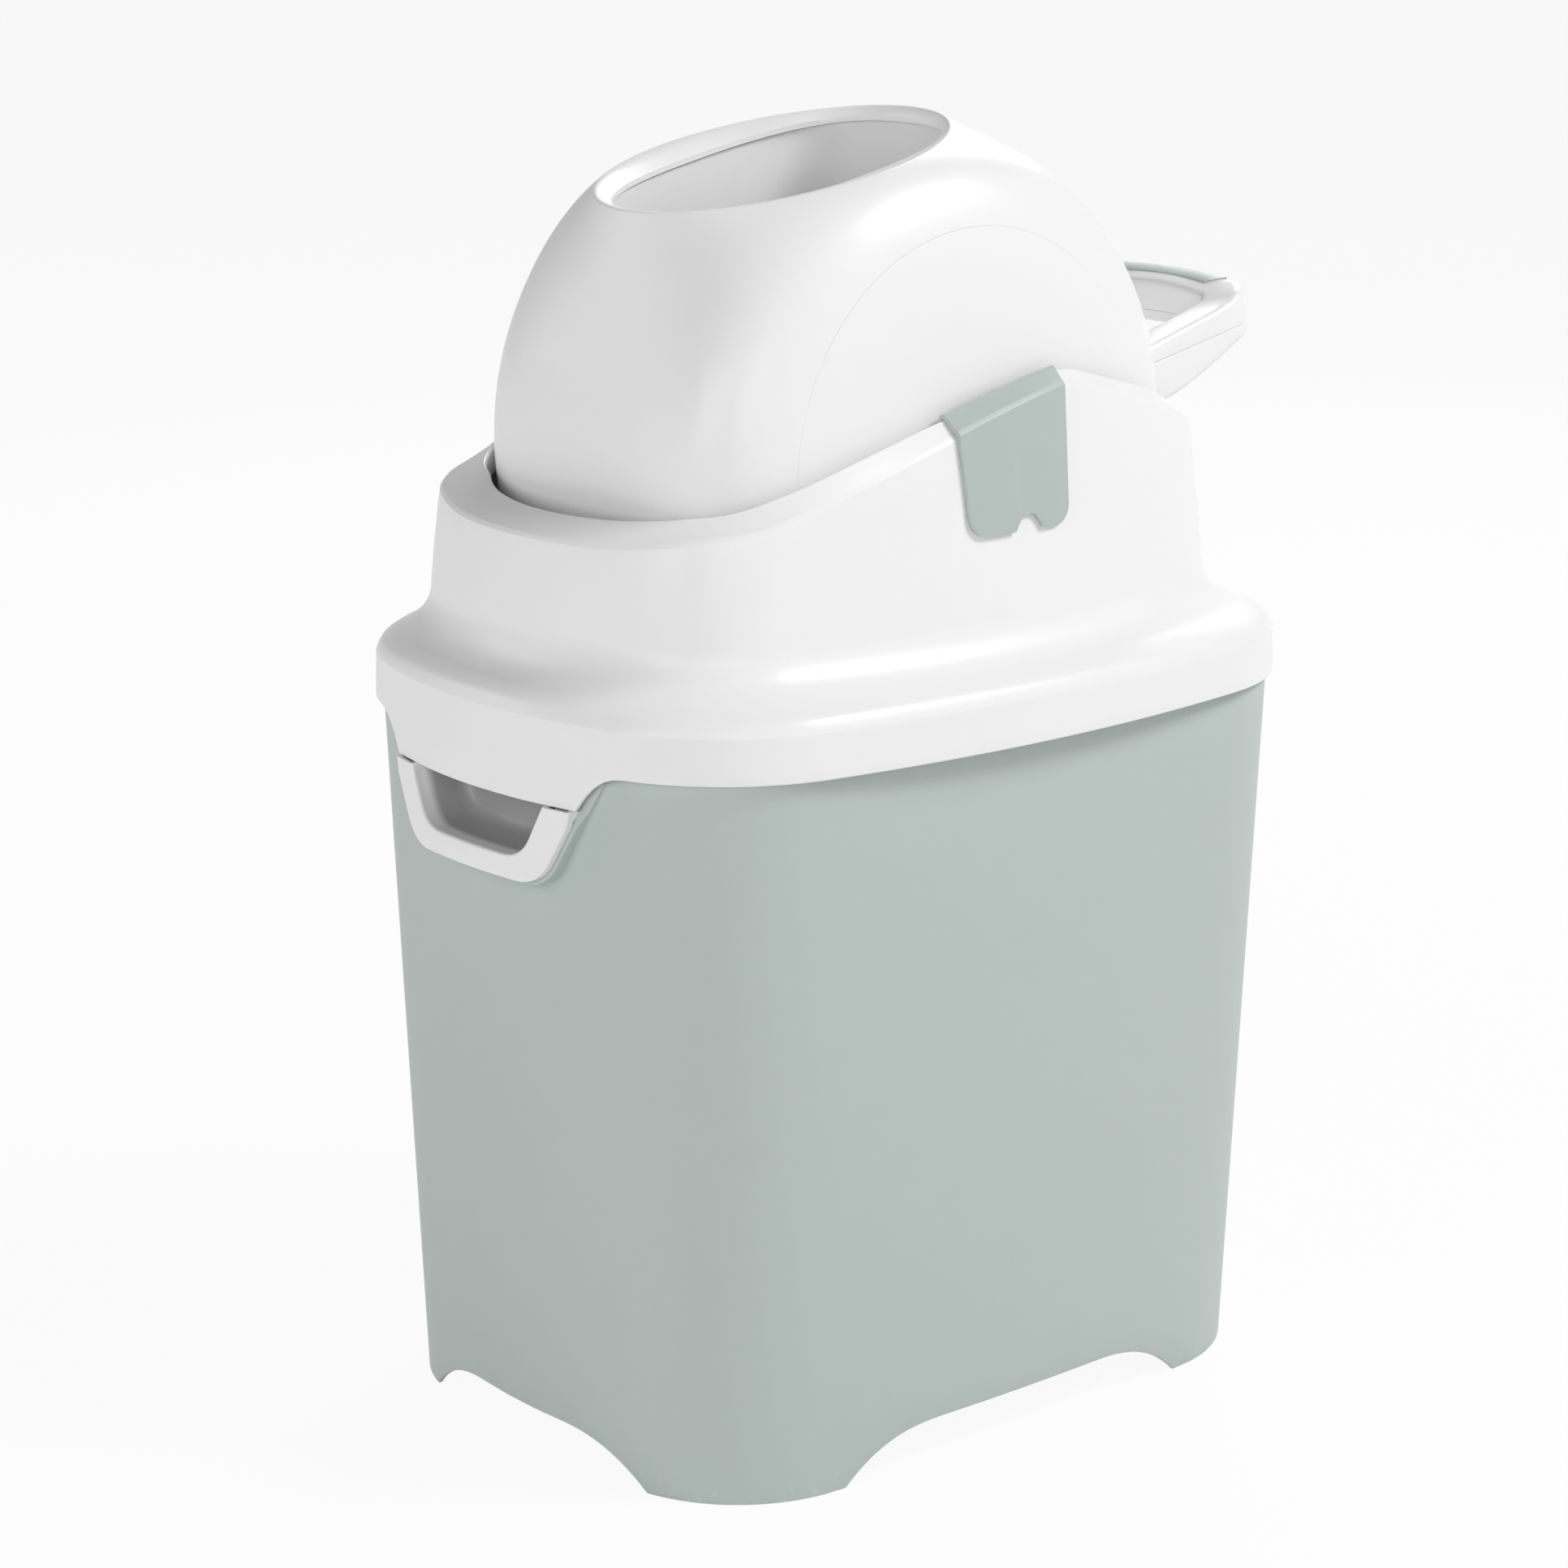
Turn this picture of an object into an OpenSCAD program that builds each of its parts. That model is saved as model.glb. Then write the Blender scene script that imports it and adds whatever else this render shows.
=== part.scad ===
// Nappy bin: sage bucket on four corner feet, white lid with a wavy rim, and a turning drum
// whose oval bore passes right through it.  A handle turns the drum over, and a free piston
// in the bore pushes the load out into the bucket.
// Millimetres, +Z up.  Origin on the floor under the bucket's middle.  -Y is the front (grip),
// +X and -X are the two clip sides, +Y is the back (lid hinge, drum handle at rest).

/* [Bucket] */
// Width of the bucket at the floor
base_w = 279.6; // [240:0.2:320]
// Length of the bucket at the floor
base_l = 378.6; // [340:0.2:420]
// Width of the bucket at its rim
mouth_w = 297.4; // [270:0.2:330]
// Length of the bucket at its rim
mouth_l = 406; // [370:0.2:440]
// Corner radius of the bucket, floor to rim
corner_r = 74.5; // [60:0.5:84]
// Bow of the long sides
bow_side = 13; // [6:0.5:20]
// Bow of the front and back
bow_end = 32; // [24:0.5:40]
// Height of the bucket's rim above the floor
bucket_h = 359; // [300:0.5:420]
// Wall thickness of the bucket
wall = 2.6; // [2:0.1:3.5]
// Underside of the floor plate above the ground
floor_z = 24; // [22:0.5:40]
// Thickness of the floor plate
floor_t = 3; // [2:0.5:5]
// Height of the arches between the feet
arch_h = 21; // [10:0.5:21.5]
// Half length of the front and back arches
arch_end = 82; // [76:0.5:86]
// Half length of the side arches
arch_side = 106; // [96:0.5:112]
// Height of the flared rim that the lid covers
rim_h = 16; // [12:0.5:17]
// Gap between the flared rim and the lid's skirt
rim_gap = 1.6; // [1.5:0.1:2]

/* [Front grip] */
// Drop of the frame's lower edge below the bucket's rim
grip_drop = 74; // [66:0.5:84]
// Half width of the frame at its lower edge
grip_low = 44.5; // [42:0.5:48]
// Half width of the frame under the lid
grip_high = 66; // [60:0.5:66]
// Thickness of the frame in front of the boss
frame_t = 3.4; // [2.5:0.1:4]
// Rim of sage boss that shows round the frame
boss_edge = 2.2; // [1.5:0.1:3]
// Depth of the finger pocket behind the frame face
pocket_d = 27; // [20:0.5:40]
// Half width of the pocket at its floor
pocket_low = 37; // [32:0.5:39]
// Half width of the pocket under the lid
pocket_high = 50.5; // [46:0.5:52]
// Corner radius of the frame
grip_r = 14; // [8:0.5:18]
// Wall thickness of the pocket
cup_t = 2.2; // [1.8:0.1:3]

/* [Lid] */
// How far the skirt stands out from the bucket's mouth on the long sides
skirt_side = 9.4; // [8.4:0.2:14]
// How far the skirt stands out from the bucket's mouth at the front and back
skirt_end = 8.2; // [7.2:0.2:14]
// Corner radius of the skirt
skirt_r = 91; // [80:0.5:100]
// Bow of the skirt's long sides
skirt_bow_side = 30; // [24:0.5:34]
// Bow of the skirt's front and back
skirt_bow_end = 50; // [44:0.5:54]
// Drop of the skirt's lower edge below the bucket's rim
skirt_drop = 19; // [15:0.5:22]
// Rise of the crease, where the skirt turns into the flange, above the bucket's rim
crease_rise = 2; // [1:0.5:7]
// Rise of the neck's foot above the crease
neck_foot = 39; // [34:0.5:44]
// Wall thickness of the lid
lid_t = 2.6; // [2:0.1:3.2]
// Gap between the drum's side and the neck at its foot
neck_side = 24.1; // [23.1:0.1:26]
// Gap between the lip and the neck at its foot, at the front and back
neck_end = 19.2; // [17:0.1:22]
// Corner radius of the neck
neck_r = 63; // [54:0.5:70]
// How far the neck sits forward of the skirt
neck_fwd = 5.5; // [2:0.5:7]
// Draft of the neck wall, mm inwards per mm of height
neck_draft = 0.12; // [0.08:0.01:0.13]
// Drop of the rim below the axle at the front
front_dip = 25; // [18:0.5:32]
// Rise of the rim above the axle where it peaks over the clips
peak_rise = 32; // [28:0.5:36]
// Drop of the rim below the axle at the back
back_dip = 4; // [-2:0.5:12]
// Distance of the peak behind the middle of the bucket
peak_y = 38; // [30:0.5:46]
// Drop of the front tab's lower edge, over the grip, below the bucket's rim
tab_drop = 36.5; // [28:0.5:40]
// Half width of the tab's lower edge
tab_w = 66; // [64:0.5:70]
// Half width where the tab has run out into the skirt
tab_run = 91; // [84:0.5:92]
// Gap between the drum and the lip round it
lip_gap = 4; // [2.5:0.5:5]
// How far the rolled lip hangs down inside
lip_drop = 13; // [8:0.5:14]

/* [Drum] */
// Rise of the drum's axle above the bucket's rim
axle_rise = 100; // [90:0.5:110]
// Distance of the axle in front of the bucket's middle
axle_fwd = 1; // [0:0.5:3]
// Radius of the axle stubs
axle_r = 8; // [6:0.5:9]
// Radial running clearance of the axle in its slot
axle_fit = 0.06; // [0.02:0.01:0.1]
// Width over the drum's end caps
drum_w = 212; // [206:0.5:214]
// Radius of the drum at its crown
drum_r = 146; // [142:0.5:148]
// Squareness of the drum's crown, 2 is an ellipse
drum_p = 4; // [3.4:0.1:5]
// Forward lean of the bore at rest, degrees
bore_lean = 12; // [8:0.5:15]
// Distance from the axle to the rim of each mouth
mouth_up = 133.3; // [130:0.1:135]
// Width over the rim of a mouth
rim_w = 157; // [150:0.5:160]
// Length over the rim of a mouth
rim_l = 172; // [168:0.5:174]
// Width of the throat inside a mouth
throat_w = 119.4; // [110:0.2:124]
// Length of the throat inside a mouth
throat_l = 160; // [152:0.5:162]
// Wall thickness of the drum's skin
skin = 2.4; // [2:0.1:3]
// Radius of the end caps' seam
cap_r = 104; // [94:0.5:108]
// Wall thickness of the end caps
cap_t = 1.6; // [1.2:0.1:2]
// Wall thickness of the bore's liner
liner_t = 1.8; // [1.2:0.1:2]
// Ledge of each throat that stops the piston
ledge = 1.5; // [1.2:0.1:1.8]
// Height of the piston
piston_h = 46; // [30:1:60]
// Clearance of the piston in the liner
piston_gap = 0.6; // [0.4:0.1:1]

/* [Handle] */
// Reach of the handle from the axle
handle_reach = 229; // [222:0.5:236]
// Half width over the handle's arms
handle_half = 61; // [54:0.5:64]
// Width of each arm
arm_w = 19; // [15:0.5:22]
// Depth of the cross bar
bar_w = 17; // [14:0.5:20]
// Top of the handle above the drum's middle plane
handle_top = 2; // [0:0.5:3]
// Height of the two shells at the tip
handle_deep = 18; // [16:0.5:22]
// Height of the two shells at the drum
root_deep = 33; // [26:0.5:36]

/* [Clips and hinge] */
// Half length of a clip along the rim
clip_half = 33; // [28:0.5:36]
// Distance of a clip's middle behind the axle
clip_back = 3.5; // [2:0.5:6]
// Drop of the clips' lower edge below the axle
clip_drop = 29.5; // [22:0.5:36]
// Thickness of a clip
clip_t = 2; // [1.6:0.1:2.6]
// Distance of the finger notch behind a clip's middle
notch_back = 4.5; // [-6:0.5:8]
// Height of the finger notch
notch_h = 8; // [4:0.5:10]
// Drop of the lid hinge's pin below the bucket's rim
hinge_drop = 30; // [26:0.5:36]
// Radius of the lid hinge's pin
pin_r = 3; // [2:0.25:4]
// Radial running clearance of the lid hinge
pin_fit = 0.05; // [0.02:0.01:0.1]

/* [Hidden] */
seat = 0.3;            // gap between pieces that rest on each other
white = [0.93, 0.93, 0.93];
sage = [0.72, 0.77, 0.74];
axle_y = -axle_fwd;
axle_z = bucket_h + axle_rise;         // heights above the ground
rim_front = axle_z - front_dip;
rim_peak = axle_z + peak_rise;
rim_back = axle_z - back_dip;
clip_z = axle_z - clip_drop;
crease_z = bucket_h + crease_rise;
neck_z = crease_z + neck_foot;         // the neck's width is measured here
skirt_z = bucket_h - skirt_drop;
tab_z = bucket_h - tab_drop;
hinge_z = bucket_h - hinge_drop;
grip_z = bucket_h - grip_drop;
mouth_mid = -7;        // middle of a mouth's rim, along the handle direction
throat_mid = -3.3;     // middle of its throat
throat_down = 3.5;     // throat below the mouth's rim
swing_gap = 1.5;       // drum's widest sweep to the lip
lip_a = drum_w / 2 + lip_gap;        // the lip is a squared ellipse that clears the turning drum
lip_b = norm([rim_l / 2 - mouth_mid, mouth_up]) + swing_gap;
skirt_w = mouth_w + 2 * skirt_side;
skirt_l = mouth_l + 2 * skirt_end;
neck_w = drum_w + 2 * neck_side;
neck_l = 2 * (lip_b + neck_end);
far = 2 * axle_z;      // reaches past every piece

// ---- outline: a rounded rectangle whose four sides bow outwards -------------------------
// a, b half width and length, r corner radius, sx, sy bows; gives arc centres, radii, joints
function outline(a, b, r, sx, sy) =
    let (rx = (b * b + sx * sx) / (2 * sx), ry = (a * a + sy * sy) / (2 * sy),
         x0 = a - rx, y1 = b - ry, d = norm([x0, y1]),
         m = ((rx - r) * (rx - r) - (ry - r) * (ry - r) + d * d) / (2 * d),
         h = sqrt(max((rx - r) * (rx - r) - m * m, 0)),
         c = [x0 - m * x0 / d + h * abs(y1) / d * sign(y1), m * y1 / d + h * x0 / d],
         e = [x0 - m * x0 / d - h * abs(y1) / d * sign(y1), m * y1 / d - h * x0 / d],
         k = c[0] + c[1] > e[0] + e[1] ? c : e)
    [x0, rx, k, r, y1, ry, atan2(k[1], k[0] - x0), atan2(k[1] - y1, k[0])];
// direction of the outline's normal where it crosses a given y, or a given x
function turn_y(o, y) = y <= o[1] * sin(o[6]) ? asin(y / o[1]) : asin((y - o[2][1]) / o[3]);
function turn_x(o, x) = x <= o[5] * cos(o[7]) ? acos(x / o[5]) : acos((x - o[2][0]) / o[3]);
function at_turn(o, t) = t < o[6] ? [o[0] + o[1] * cos(t), o[1] * sin(t)]
    : t < o[7] ? [o[2][0] + o[3] * cos(t), o[2][1] + o[3] * sin(t)]
    : [o[5] * cos(t), o[4] + o[5] * sin(t)];
// a station is [kind, x side, y side, value]: kind 0 crosses the long side at y = value,
// kind 2 crosses an end at x = value, kind 1 lies at a share of the corner between them.
// gives [x, y, normal x, normal y] of the outline shifted along y by sh; ye, xe bound the corner
function on(o, sh, s, ye, xe) =
    s[0] == 0 ? let (y = s[3] - sh, g = y < 0 ? -1 : 1, t = turn_y(o, abs(y)), p = at_turn(o, t))
        [s[1] * p[0], sh + g * p[1], s[1] * cos(t), g * sin(t)]
    : s[0] == 2 ? let (g = s[3] < 0 ? -1 : 1, t = turn_x(o, abs(s[3])), p = at_turn(o, t))
        [g * p[0], sh + s[2] * p[1], g * cos(t), s[2] * sin(t)]
    : let (ta = turn_y(o, ye - s[2] * sh), tb = turn_x(o, xe), t = ta + (tb - ta) * s[3],
           p = at_turn(o, t))
        [s[1] * p[0], sh + s[2] * p[1], s[1] * cos(t), s[2] * sin(t)];
// stations all the way round, from the middle of the +X side: ys side crossings (rising),
// xf and xb crossings of the front and back ends (rising), n stations in each corner
function around(ys, xf, xb, n) = concat(
    [for (y = ys) if (y >= 0) [0, 1, 1, y]], [for (k = [1:n]) [1, 1, 1, k / (n + 1)]],
    [for (k = [len(xb) - 1:-1:0]) [2, xb[k] < 0 ? -1 : 1, 1, xb[k]]],
    [for (k = [n:-1:1]) [1, -1, 1, k / (n + 1)]],
    [for (k = [len(ys) - 1:-1:0]) [0, -1, 1, ys[k]]],
    [for (k = [1:n]) [1, -1, -1, k / (n + 1)]],
    [for (x = xf) [2, x < 0 ? -1 : 1, -1, x]],
    [for (k = [n:-1:1]) [1, 1, -1, k / (n + 1)]],
    [for (y = ys) if (y < 0) [0, 1, -1, y]]);
function mix(a, b, t) = a + (b - a) * t;
function hold(t) = min(max(t, 0), 1);
function soft(t) = hold(t) * hold(t) * (3 - 2 * hold(t));
function go(q, d) = [q[0] + d * q[2], q[1] + d * q[3]];
function lift(p, z) = [p[0], p[1], z];

// ---- a shell: outer and inner grids of points (column, row), closed round the columns ----
// cut(i, j) cells are left open through the wall; tail rows close a bottom down to two poles
module shell(outer, inner, cuts = [], tail = [], poles = []) {
    n = len(outer);
    m = len(outer[0]);
    k = len(tail) == 0 ? 0 : len(tail[0]);
    pts = concat([for (c = outer) each c], [for (c = inner) each c], [for (c = tail) each c], poles);
    function o(i, j) = (i % n) * m + j;
    function p(i, j) = n * m + (i % n) * m + j;
    function q(i, j) = j < 0 ? o(i, 0) : 2 * n * m + (i % n) * k + j;
    function gone(i, j) = len([for (c = cuts) if (i >= c[0] && i < c[1] && j >= c[2] && j < c[3]) 1]) > 0;
    function quad(a, b, c, d) = [[a, b, c], [a, c, d]];
    faces = concat(
        [for (i = [0:n - 1]) for (j = [0:m - 2]) if (!gone(i, j))
            each concat(quad(o(i, j), o(i, j + 1), o(i + 1, j + 1), o(i + 1, j)),
                        quad(p(i, j), p(i + 1, j), p(i + 1, j + 1), p(i, j + 1)))],
        [for (i = [0:n - 1]) if (!gone(i, m - 2))
            each quad(o(i, m - 1), p(i, m - 1), p(i + 1, m - 1), o(i + 1, m - 1))],
        [for (i = [0:n - 1]) if (k == 0 && !gone(i, 0))
            each quad(o(i, 0), o(i + 1, 0), p(i + 1, 0), p(i, 0))],
        [for (i = [0:n - 1]) for (j = [0:m - 2]) let (h = (i + n - 1) % n)
            if (gone(i, j) != gone(h, j))
                each (gone(i, j) ? quad(o(i, j), o(i, j + 1), p(i, j + 1), p(i, j))
                                 : quad(o(i, j), p(i, j), p(i, j + 1), o(i, j + 1)))],
        [for (i = [0:n - 1]) for (j = [1:1:m - 2]) if (gone(i, j) != gone(i, j - 1))
            each (gone(i, j) ? quad(o(i, j), p(i, j), p(i + 1, j), o(i + 1, j))
                             : quad(o(i, j), o(i + 1, j), p(i + 1, j), p(i, j)))],
        [for (i = [0:n - 1]) if (k > 0) for (j = [-1:k - 2])
            each quad(q(i, j), q(i + 1, j), q(i + 1, j + 1), q(i, j + 1))],
        [for (i = [0:n - 1]) if (k > 0) each [[q(i, k - 1), q(i + 1, k - 1), 2 * n * m + n * k],
                                              [p(i + 1, 0), p(i, 0), 2 * n * m + n * k + 1]]]);
    polyhedron(points = pts, faces = faces, convexity = 8);
}

// ---- bucket -----------------------------------------------------------------------------
function bucket_at(z) = let (t = z / bucket_h)
    outline(mix(base_w, mouth_w, t) / 2, mix(base_l, mouth_l, t) / 2, corner_r,
            bow_side * mix(0.93, 1.12, t), bow_end * mix(0.96, 1.04, t));
skirt_o = outline(skirt_w / 2, skirt_l / 2, skirt_r, skirt_bow_side, skirt_bow_end);
// the grip's faces lie on upright cylinders about the skirt's own front arc
face_y = -skirt_o[4];
face_r = skirt_o[5];
frame_r = face_r - 0.4;              // grip frame, almost flush with the tab
boss_r = frame_r - frame_t - seat;   // boss behind it
grip_top = tab_z - 0.5;
grip_slope = (grip_high - grip_low) / (grip_top - grip_z);
cup_down = 7.5;                      // opening's lower edge above the frame's
hole_h = 39;
boss_top = 3.5;                      // boss above the opening
hole_z0 = grip_z + cup_down;
hole_z1 = hole_z0 + hole_h;
boss_z1 = hole_z1 + boss_top;
pocket_z = hole_z0 + seat + cup_t;   // floor of the pocket
pocket_r = 8;                        // its corner radius
cup_slope = (pocket_high - pocket_low) / (grip_top - pocket_z);
cup_low = pocket_low + cup_t * 1.15 - cup_slope * (pocket_z - grip_z); // outside of the walls at grip_z
function boss_half(z) = grip_low + boss_edge + grip_slope * (z - grip_z);
function hole_half(z) = cup_low + seat + cup_slope * (z - grip_z);
// columns of the bucket's front: x at the frame's lower edge, x at the boss's top
boss_blend = 3.5;                    // hollow between boss and wall
front_end = arch_end + 14;           // end of the front columns above the grip
front_lo = [0, hole_half(grip_z) * 0.35, hole_half(grip_z) * 0.7, hole_half(grip_z), boss_half(grip_z),
    boss_half(grip_z) + boss_blend, arch_end * 0.73, arch_end * 0.87, arch_end];
front_hi = [0, hole_half(boss_z1) * 0.35, hole_half(boss_z1) * 0.7, hole_half(boss_z1), boss_half(boss_z1),
    boss_half(boss_z1) + boss_blend, front_end - 10, front_end - 5, front_end];
nf = len(front_lo) - 1;
nb = 4;                              // columns of the boss, each side of the middle
nh = 3;                              // columns of its opening
function front_x(k, z) = let (c = abs(k), t = hold((z - grip_z) / (boss_z1 - grip_z)))
    sign(k) * mix(front_lo[c], front_hi[c], t);
side_half = [0.38, 0.57, 0.71, 0.83, 0.925, 1] * arch_side;
side_y = concat([for (k = [5:-1:0]) -side_half[k]], [0], side_half);
back_half = [0.34, 0.55, 0.73, 0.87, 1] * arch_end;
back_x = concat([for (k = [4:-1:0]) -back_half[k]], [0], back_half);
// the front stations carry a column number instead of an x, because their x changes with z
bucket_s = around(side_y, [for (k = [-nf:nf]) k], back_x, 5);
front_i = [for (i = [0:len(bucket_s) - 1]) if (bucket_s[i][0] == 2 && bucket_s[i][2] < 0) i][0];
function front_end_at(z) = mix(arch_end, front_end, hold((z - grip_z) / (boss_z1 - grip_z)));
function bucket_q(o, s, z) = s[0] == 2 && s[2] < 0
    ? on(o, 0, [2, s[1], -1, front_x(s[3], z)], arch_side, front_end_at(z))
    : on(o, 0, s, arch_side, s[2] < 0 ? front_end_at(z) : arch_end);
// arch between two feet: full height in the middle, falling to the floor at its end
function arch(d, flat, end, p) = arch_h * (1 - pow(hold((abs(d) - flat) / (end - flat)), p));
function foot_z(s) = s[0] == 0 ? arch(s[3], arch_side * 0.425, arch_side, 2.8)
    : s[0] == 2 ? arch(s[2] < 0 ? front_x(s[3], 0) : s[3], arch_end * 0.305, arch_end, 2.6) : 0;
// rows of the wall: [height outside, height inside, inset from the skirt's outline in the flared rim]
rim_in = lid_t + rim_gap;
rim_z0 = bucket_h - rim_h;
rows = [[floor_z + 6, floor_z + floor_t, 0], [floor_z + 22, floor_z + floor_t + 12, 0],
    [grip_z - 9, grip_z - 9, 0], [grip_z - 4, grip_z - 4, 0], [grip_z - 0.5, grip_z - 0.5, 0],
    [hole_z0, hole_z0, 0], [hole_z1, hole_z1, 0], [boss_z1, boss_z1, 0],
    [rim_z0 - 3, rim_z0 - 1.5, 0], [rim_z0 + 1, rim_z0 + 2.5, rim_in],
    [bucket_h - 1, bucket_h - 1, rim_in], [bucket_h, bucket_h, rim_in + 0.8]];
row_o = [for (r = rows) bucket_at(r[0])];
row_i = [for (r = rows) bucket_at(r[1])];
function rim_q(s) = bucket_q(skirt_o, s, bucket_h);
function boss_y(x, r) = face_y - sqrt(r * r - x * x);
function on_boss(s, j) = j >= 4 && j <= 7 && s[0] == 2 && s[2] < 0 && abs(s[3]) <= nb;
function bucket_out(s, j) = let (z = rows[j][0], q = bucket_q(row_o[j], s, z))
    on_boss(s, j) ? [q[0], boss_y(q[0], boss_r), z]
    : rows[j][2] > 0 ? lift(go(rim_q(s), -rows[j][2]), z) : lift(go(q, 0), z);
function bucket_in(s, j) = let (z = rows[j][1], q = bucket_q(row_i[j], s, z))
    j == 0 ? lift(go(q, -wall - 12), z)
    : on_boss(s, j) ? [q[0], boss_y(q[0], boss_r - wall), z]
    : rows[j][2] > 0 ? lift(go(rim_q(s), -rim_in - wall), z) : lift(go(q, -wall), z);
module bucket() {
    under = bucket_at(floor_z);
    color(sage) shell(
        [for (s = bucket_s) [for (j = [0:len(rows) - 1]) bucket_out(s, j)]],
        [for (s = bucket_s) [for (j = [0:len(rows) - 1]) bucket_in(s, j)]],
        cuts = [[front_i + nf - nh, front_i + nf + nh, 5, 6]],
        tail = [for (s = bucket_s)
            let (z = foot_z(s), q = bucket_q(bucket_at(z), s, z), u = bucket_q(under, s, 0))
            [lift(go(q, 0), z), lift(go(q, -wall), z), lift(go(u, -wall), floor_z)]],
        poles = [[0, 0, floor_z], [0, 0, floor_z + floor_t]]);
}

// ---- front grip: U frame and finger pocket in one moulding ---------------------------------
// trapezoid with rounded lower corners, in x and z; half width grows by slope above z0
module grip_shape(low, slope, z0, z1, r) {
    lean = atan(slope);
    x = low - r * (1 / cos(lean) - tan(lean));   // centre of the corner's arc
    arc = [for (k = [0:6]) 180 + lean + k * (90 - lean) / 6];
    polygon(concat([for (t = arc) [-x + r * cos(t), z0 + r + r * sin(t)]],
                   [for (k = [6:-1:0]) [x - r * cos(arc[k]), z0 + r + r * sin(arc[k])]],
                   [[low + slope * (z1 - z0), z1], [-low - slope * (z1 - z0), z1]]));
}
module grip_slab(y0, y1) translate([0, y1, 0]) rotate([90, 0, 0])
    linear_extrude(height = y1 - y0) children();
module grip_cup() {
    back_y = -skirt_l / 2 + pocket_d;
    cup0 = hole_z0 + seat;
    cup1 = hole_z1 - seat;
    front_y = face_y - face_r - cup_t;
    wall_y = face_y - boss_r;
    color(white) difference() {
        union() {
            intersection() {
                grip_slab(front_y, back_y) grip_shape(grip_low, grip_slope, grip_z, grip_top, grip_r);
                difference() {
                    translate([0, face_y, 0]) cylinder(r = frame_r, h = far, $fn = 180);
                    translate([0, face_y, -1]) cylinder(r = boss_r + seat, h = far + 2, $fn = 180);
                }
            }
            intersection() {
                grip_slab(wall_y - 1, back_y + cup_t)
                    grip_shape(cup_low + cup_slope * (cup0 - grip_z), cup_slope, cup0, cup1,
                               pocket_r + cup_t);
                translate([0, face_y, 0]) cylinder(r = boss_r + seat + 0.2, h = far, $fn = 180);
            }
        }
        grip_slab(front_y - 1, back_y) grip_shape(pocket_low, cup_slope, pocket_z, cup1 - cup_t, pocket_r);
    }
}

// ---- bag ring: holds the bag's hem in the bucket's rim ----------------------------------------
ring_x = skirt_w / 4;
ring_y = skirt_l / 4;
ring_s = around([for (k = [-4:4]) k * ring_y / 4], [for (k = [-4:4]) k * ring_x / 4],
                [for (k = [-4:4]) k * ring_x / 4], 5);
ring_t = 2;
module rim_outline(d) polygon([for (s = ring_s) go(on(skirt_o, 0, s, ring_y, ring_x), d)]);
module bag_ring() {
    drop = rim_h - 4;
    color(white) difference() {
        union() {
            translate([0, 0, bucket_h + seat]) linear_extrude(height = ring_t) rim_outline(-rim_in - 1);
            translate([0, 0, bucket_h - drop]) linear_extrude(height = drop + 1)
                rim_outline(-rim_in - wall - seat);
        }
        translate([0, 0, bucket_h - drop - 1]) linear_extrude(height = far)
            rim_outline(-rim_in - wall - seat - ring_t);
    }
}

// ---- lid hinge at the back ----------------------------------------------------------------------
hinge_out = 6;         // pin behind the skirt
hinge_y = skirt_l / 2 + hinge_out;
knuckle = pin_r + 3.4;
arm_half = 26;
arm_t = 7;             // lid's arm, and how far its front lies in front of the pin
arm_in = 9;
ear_t = 8;
ear_gap = 0.6;
bracket_half = arm_half + ear_gap + ear_t;
plate_gap = 2.8;       // plate in front of the knuckle
plate_z = skirt_z - 28;
plate_h = 23;
module along_x(x, y, z) translate([x, y, z]) rotate([0, 90, 0]) children();
module pin_hole() along_x(-bracket_half - 1, hinge_y, hinge_z)
    cylinder(r = pin_r + pin_fit, h = 2 * bracket_half + 2, $fn = 48);
module hinge_bracket() {
    back_o = bucket_at(skirt_z - 5);
    plate_y = hinge_y - knuckle - plate_gap;
    inner_y = mouth_l / 2 - bow_end / 2;
    color(sage) difference() {
        union() {
            translate([-bracket_half, inner_y, plate_z])
                cube([2 * bracket_half, plate_y - inner_y, plate_h]);
            for (s = [-1, 1]) {
                x = s > 0 ? arm_half + ear_gap : -bracket_half;
                along_x(x, hinge_y, hinge_z) cylinder(r = knuckle, h = ear_t, $fn = 48);
                translate([x, plate_y - 1, plate_z])
                    cube([ear_t, hinge_y - plate_y + 1, hinge_z + knuckle - plate_z]);
            }
        }
        translate([0, back_o[4], 0]) cylinder(r = back_o[5] + seat, h = far, $fn = 240);
        pin_hole();
    }
}
module hinge_pin() {
    half = arm_half + ear_t;
    color([0.75, 0.75, 0.76]) along_x(-half, hinge_y, hinge_z) cylinder(r = pin_r, h = 2 * half, $fn = 48);
}
module lid_hinge() {
    color(white) difference() {
        union() {
            along_x(-arm_half, hinge_y, hinge_z) cylinder(r = knuckle, h = 2 * arm_half, $fn = 48);
            translate([-arm_half, hinge_y - arm_in, hinge_z])
                cube([2 * arm_half, arm_t, crease_z - 3 - hinge_z]);
        }
        translate([0, -face_y, 0]) cylinder(r = face_r + seat, h = far, $fn = 240);
        pin_hole();
    }
}

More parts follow.
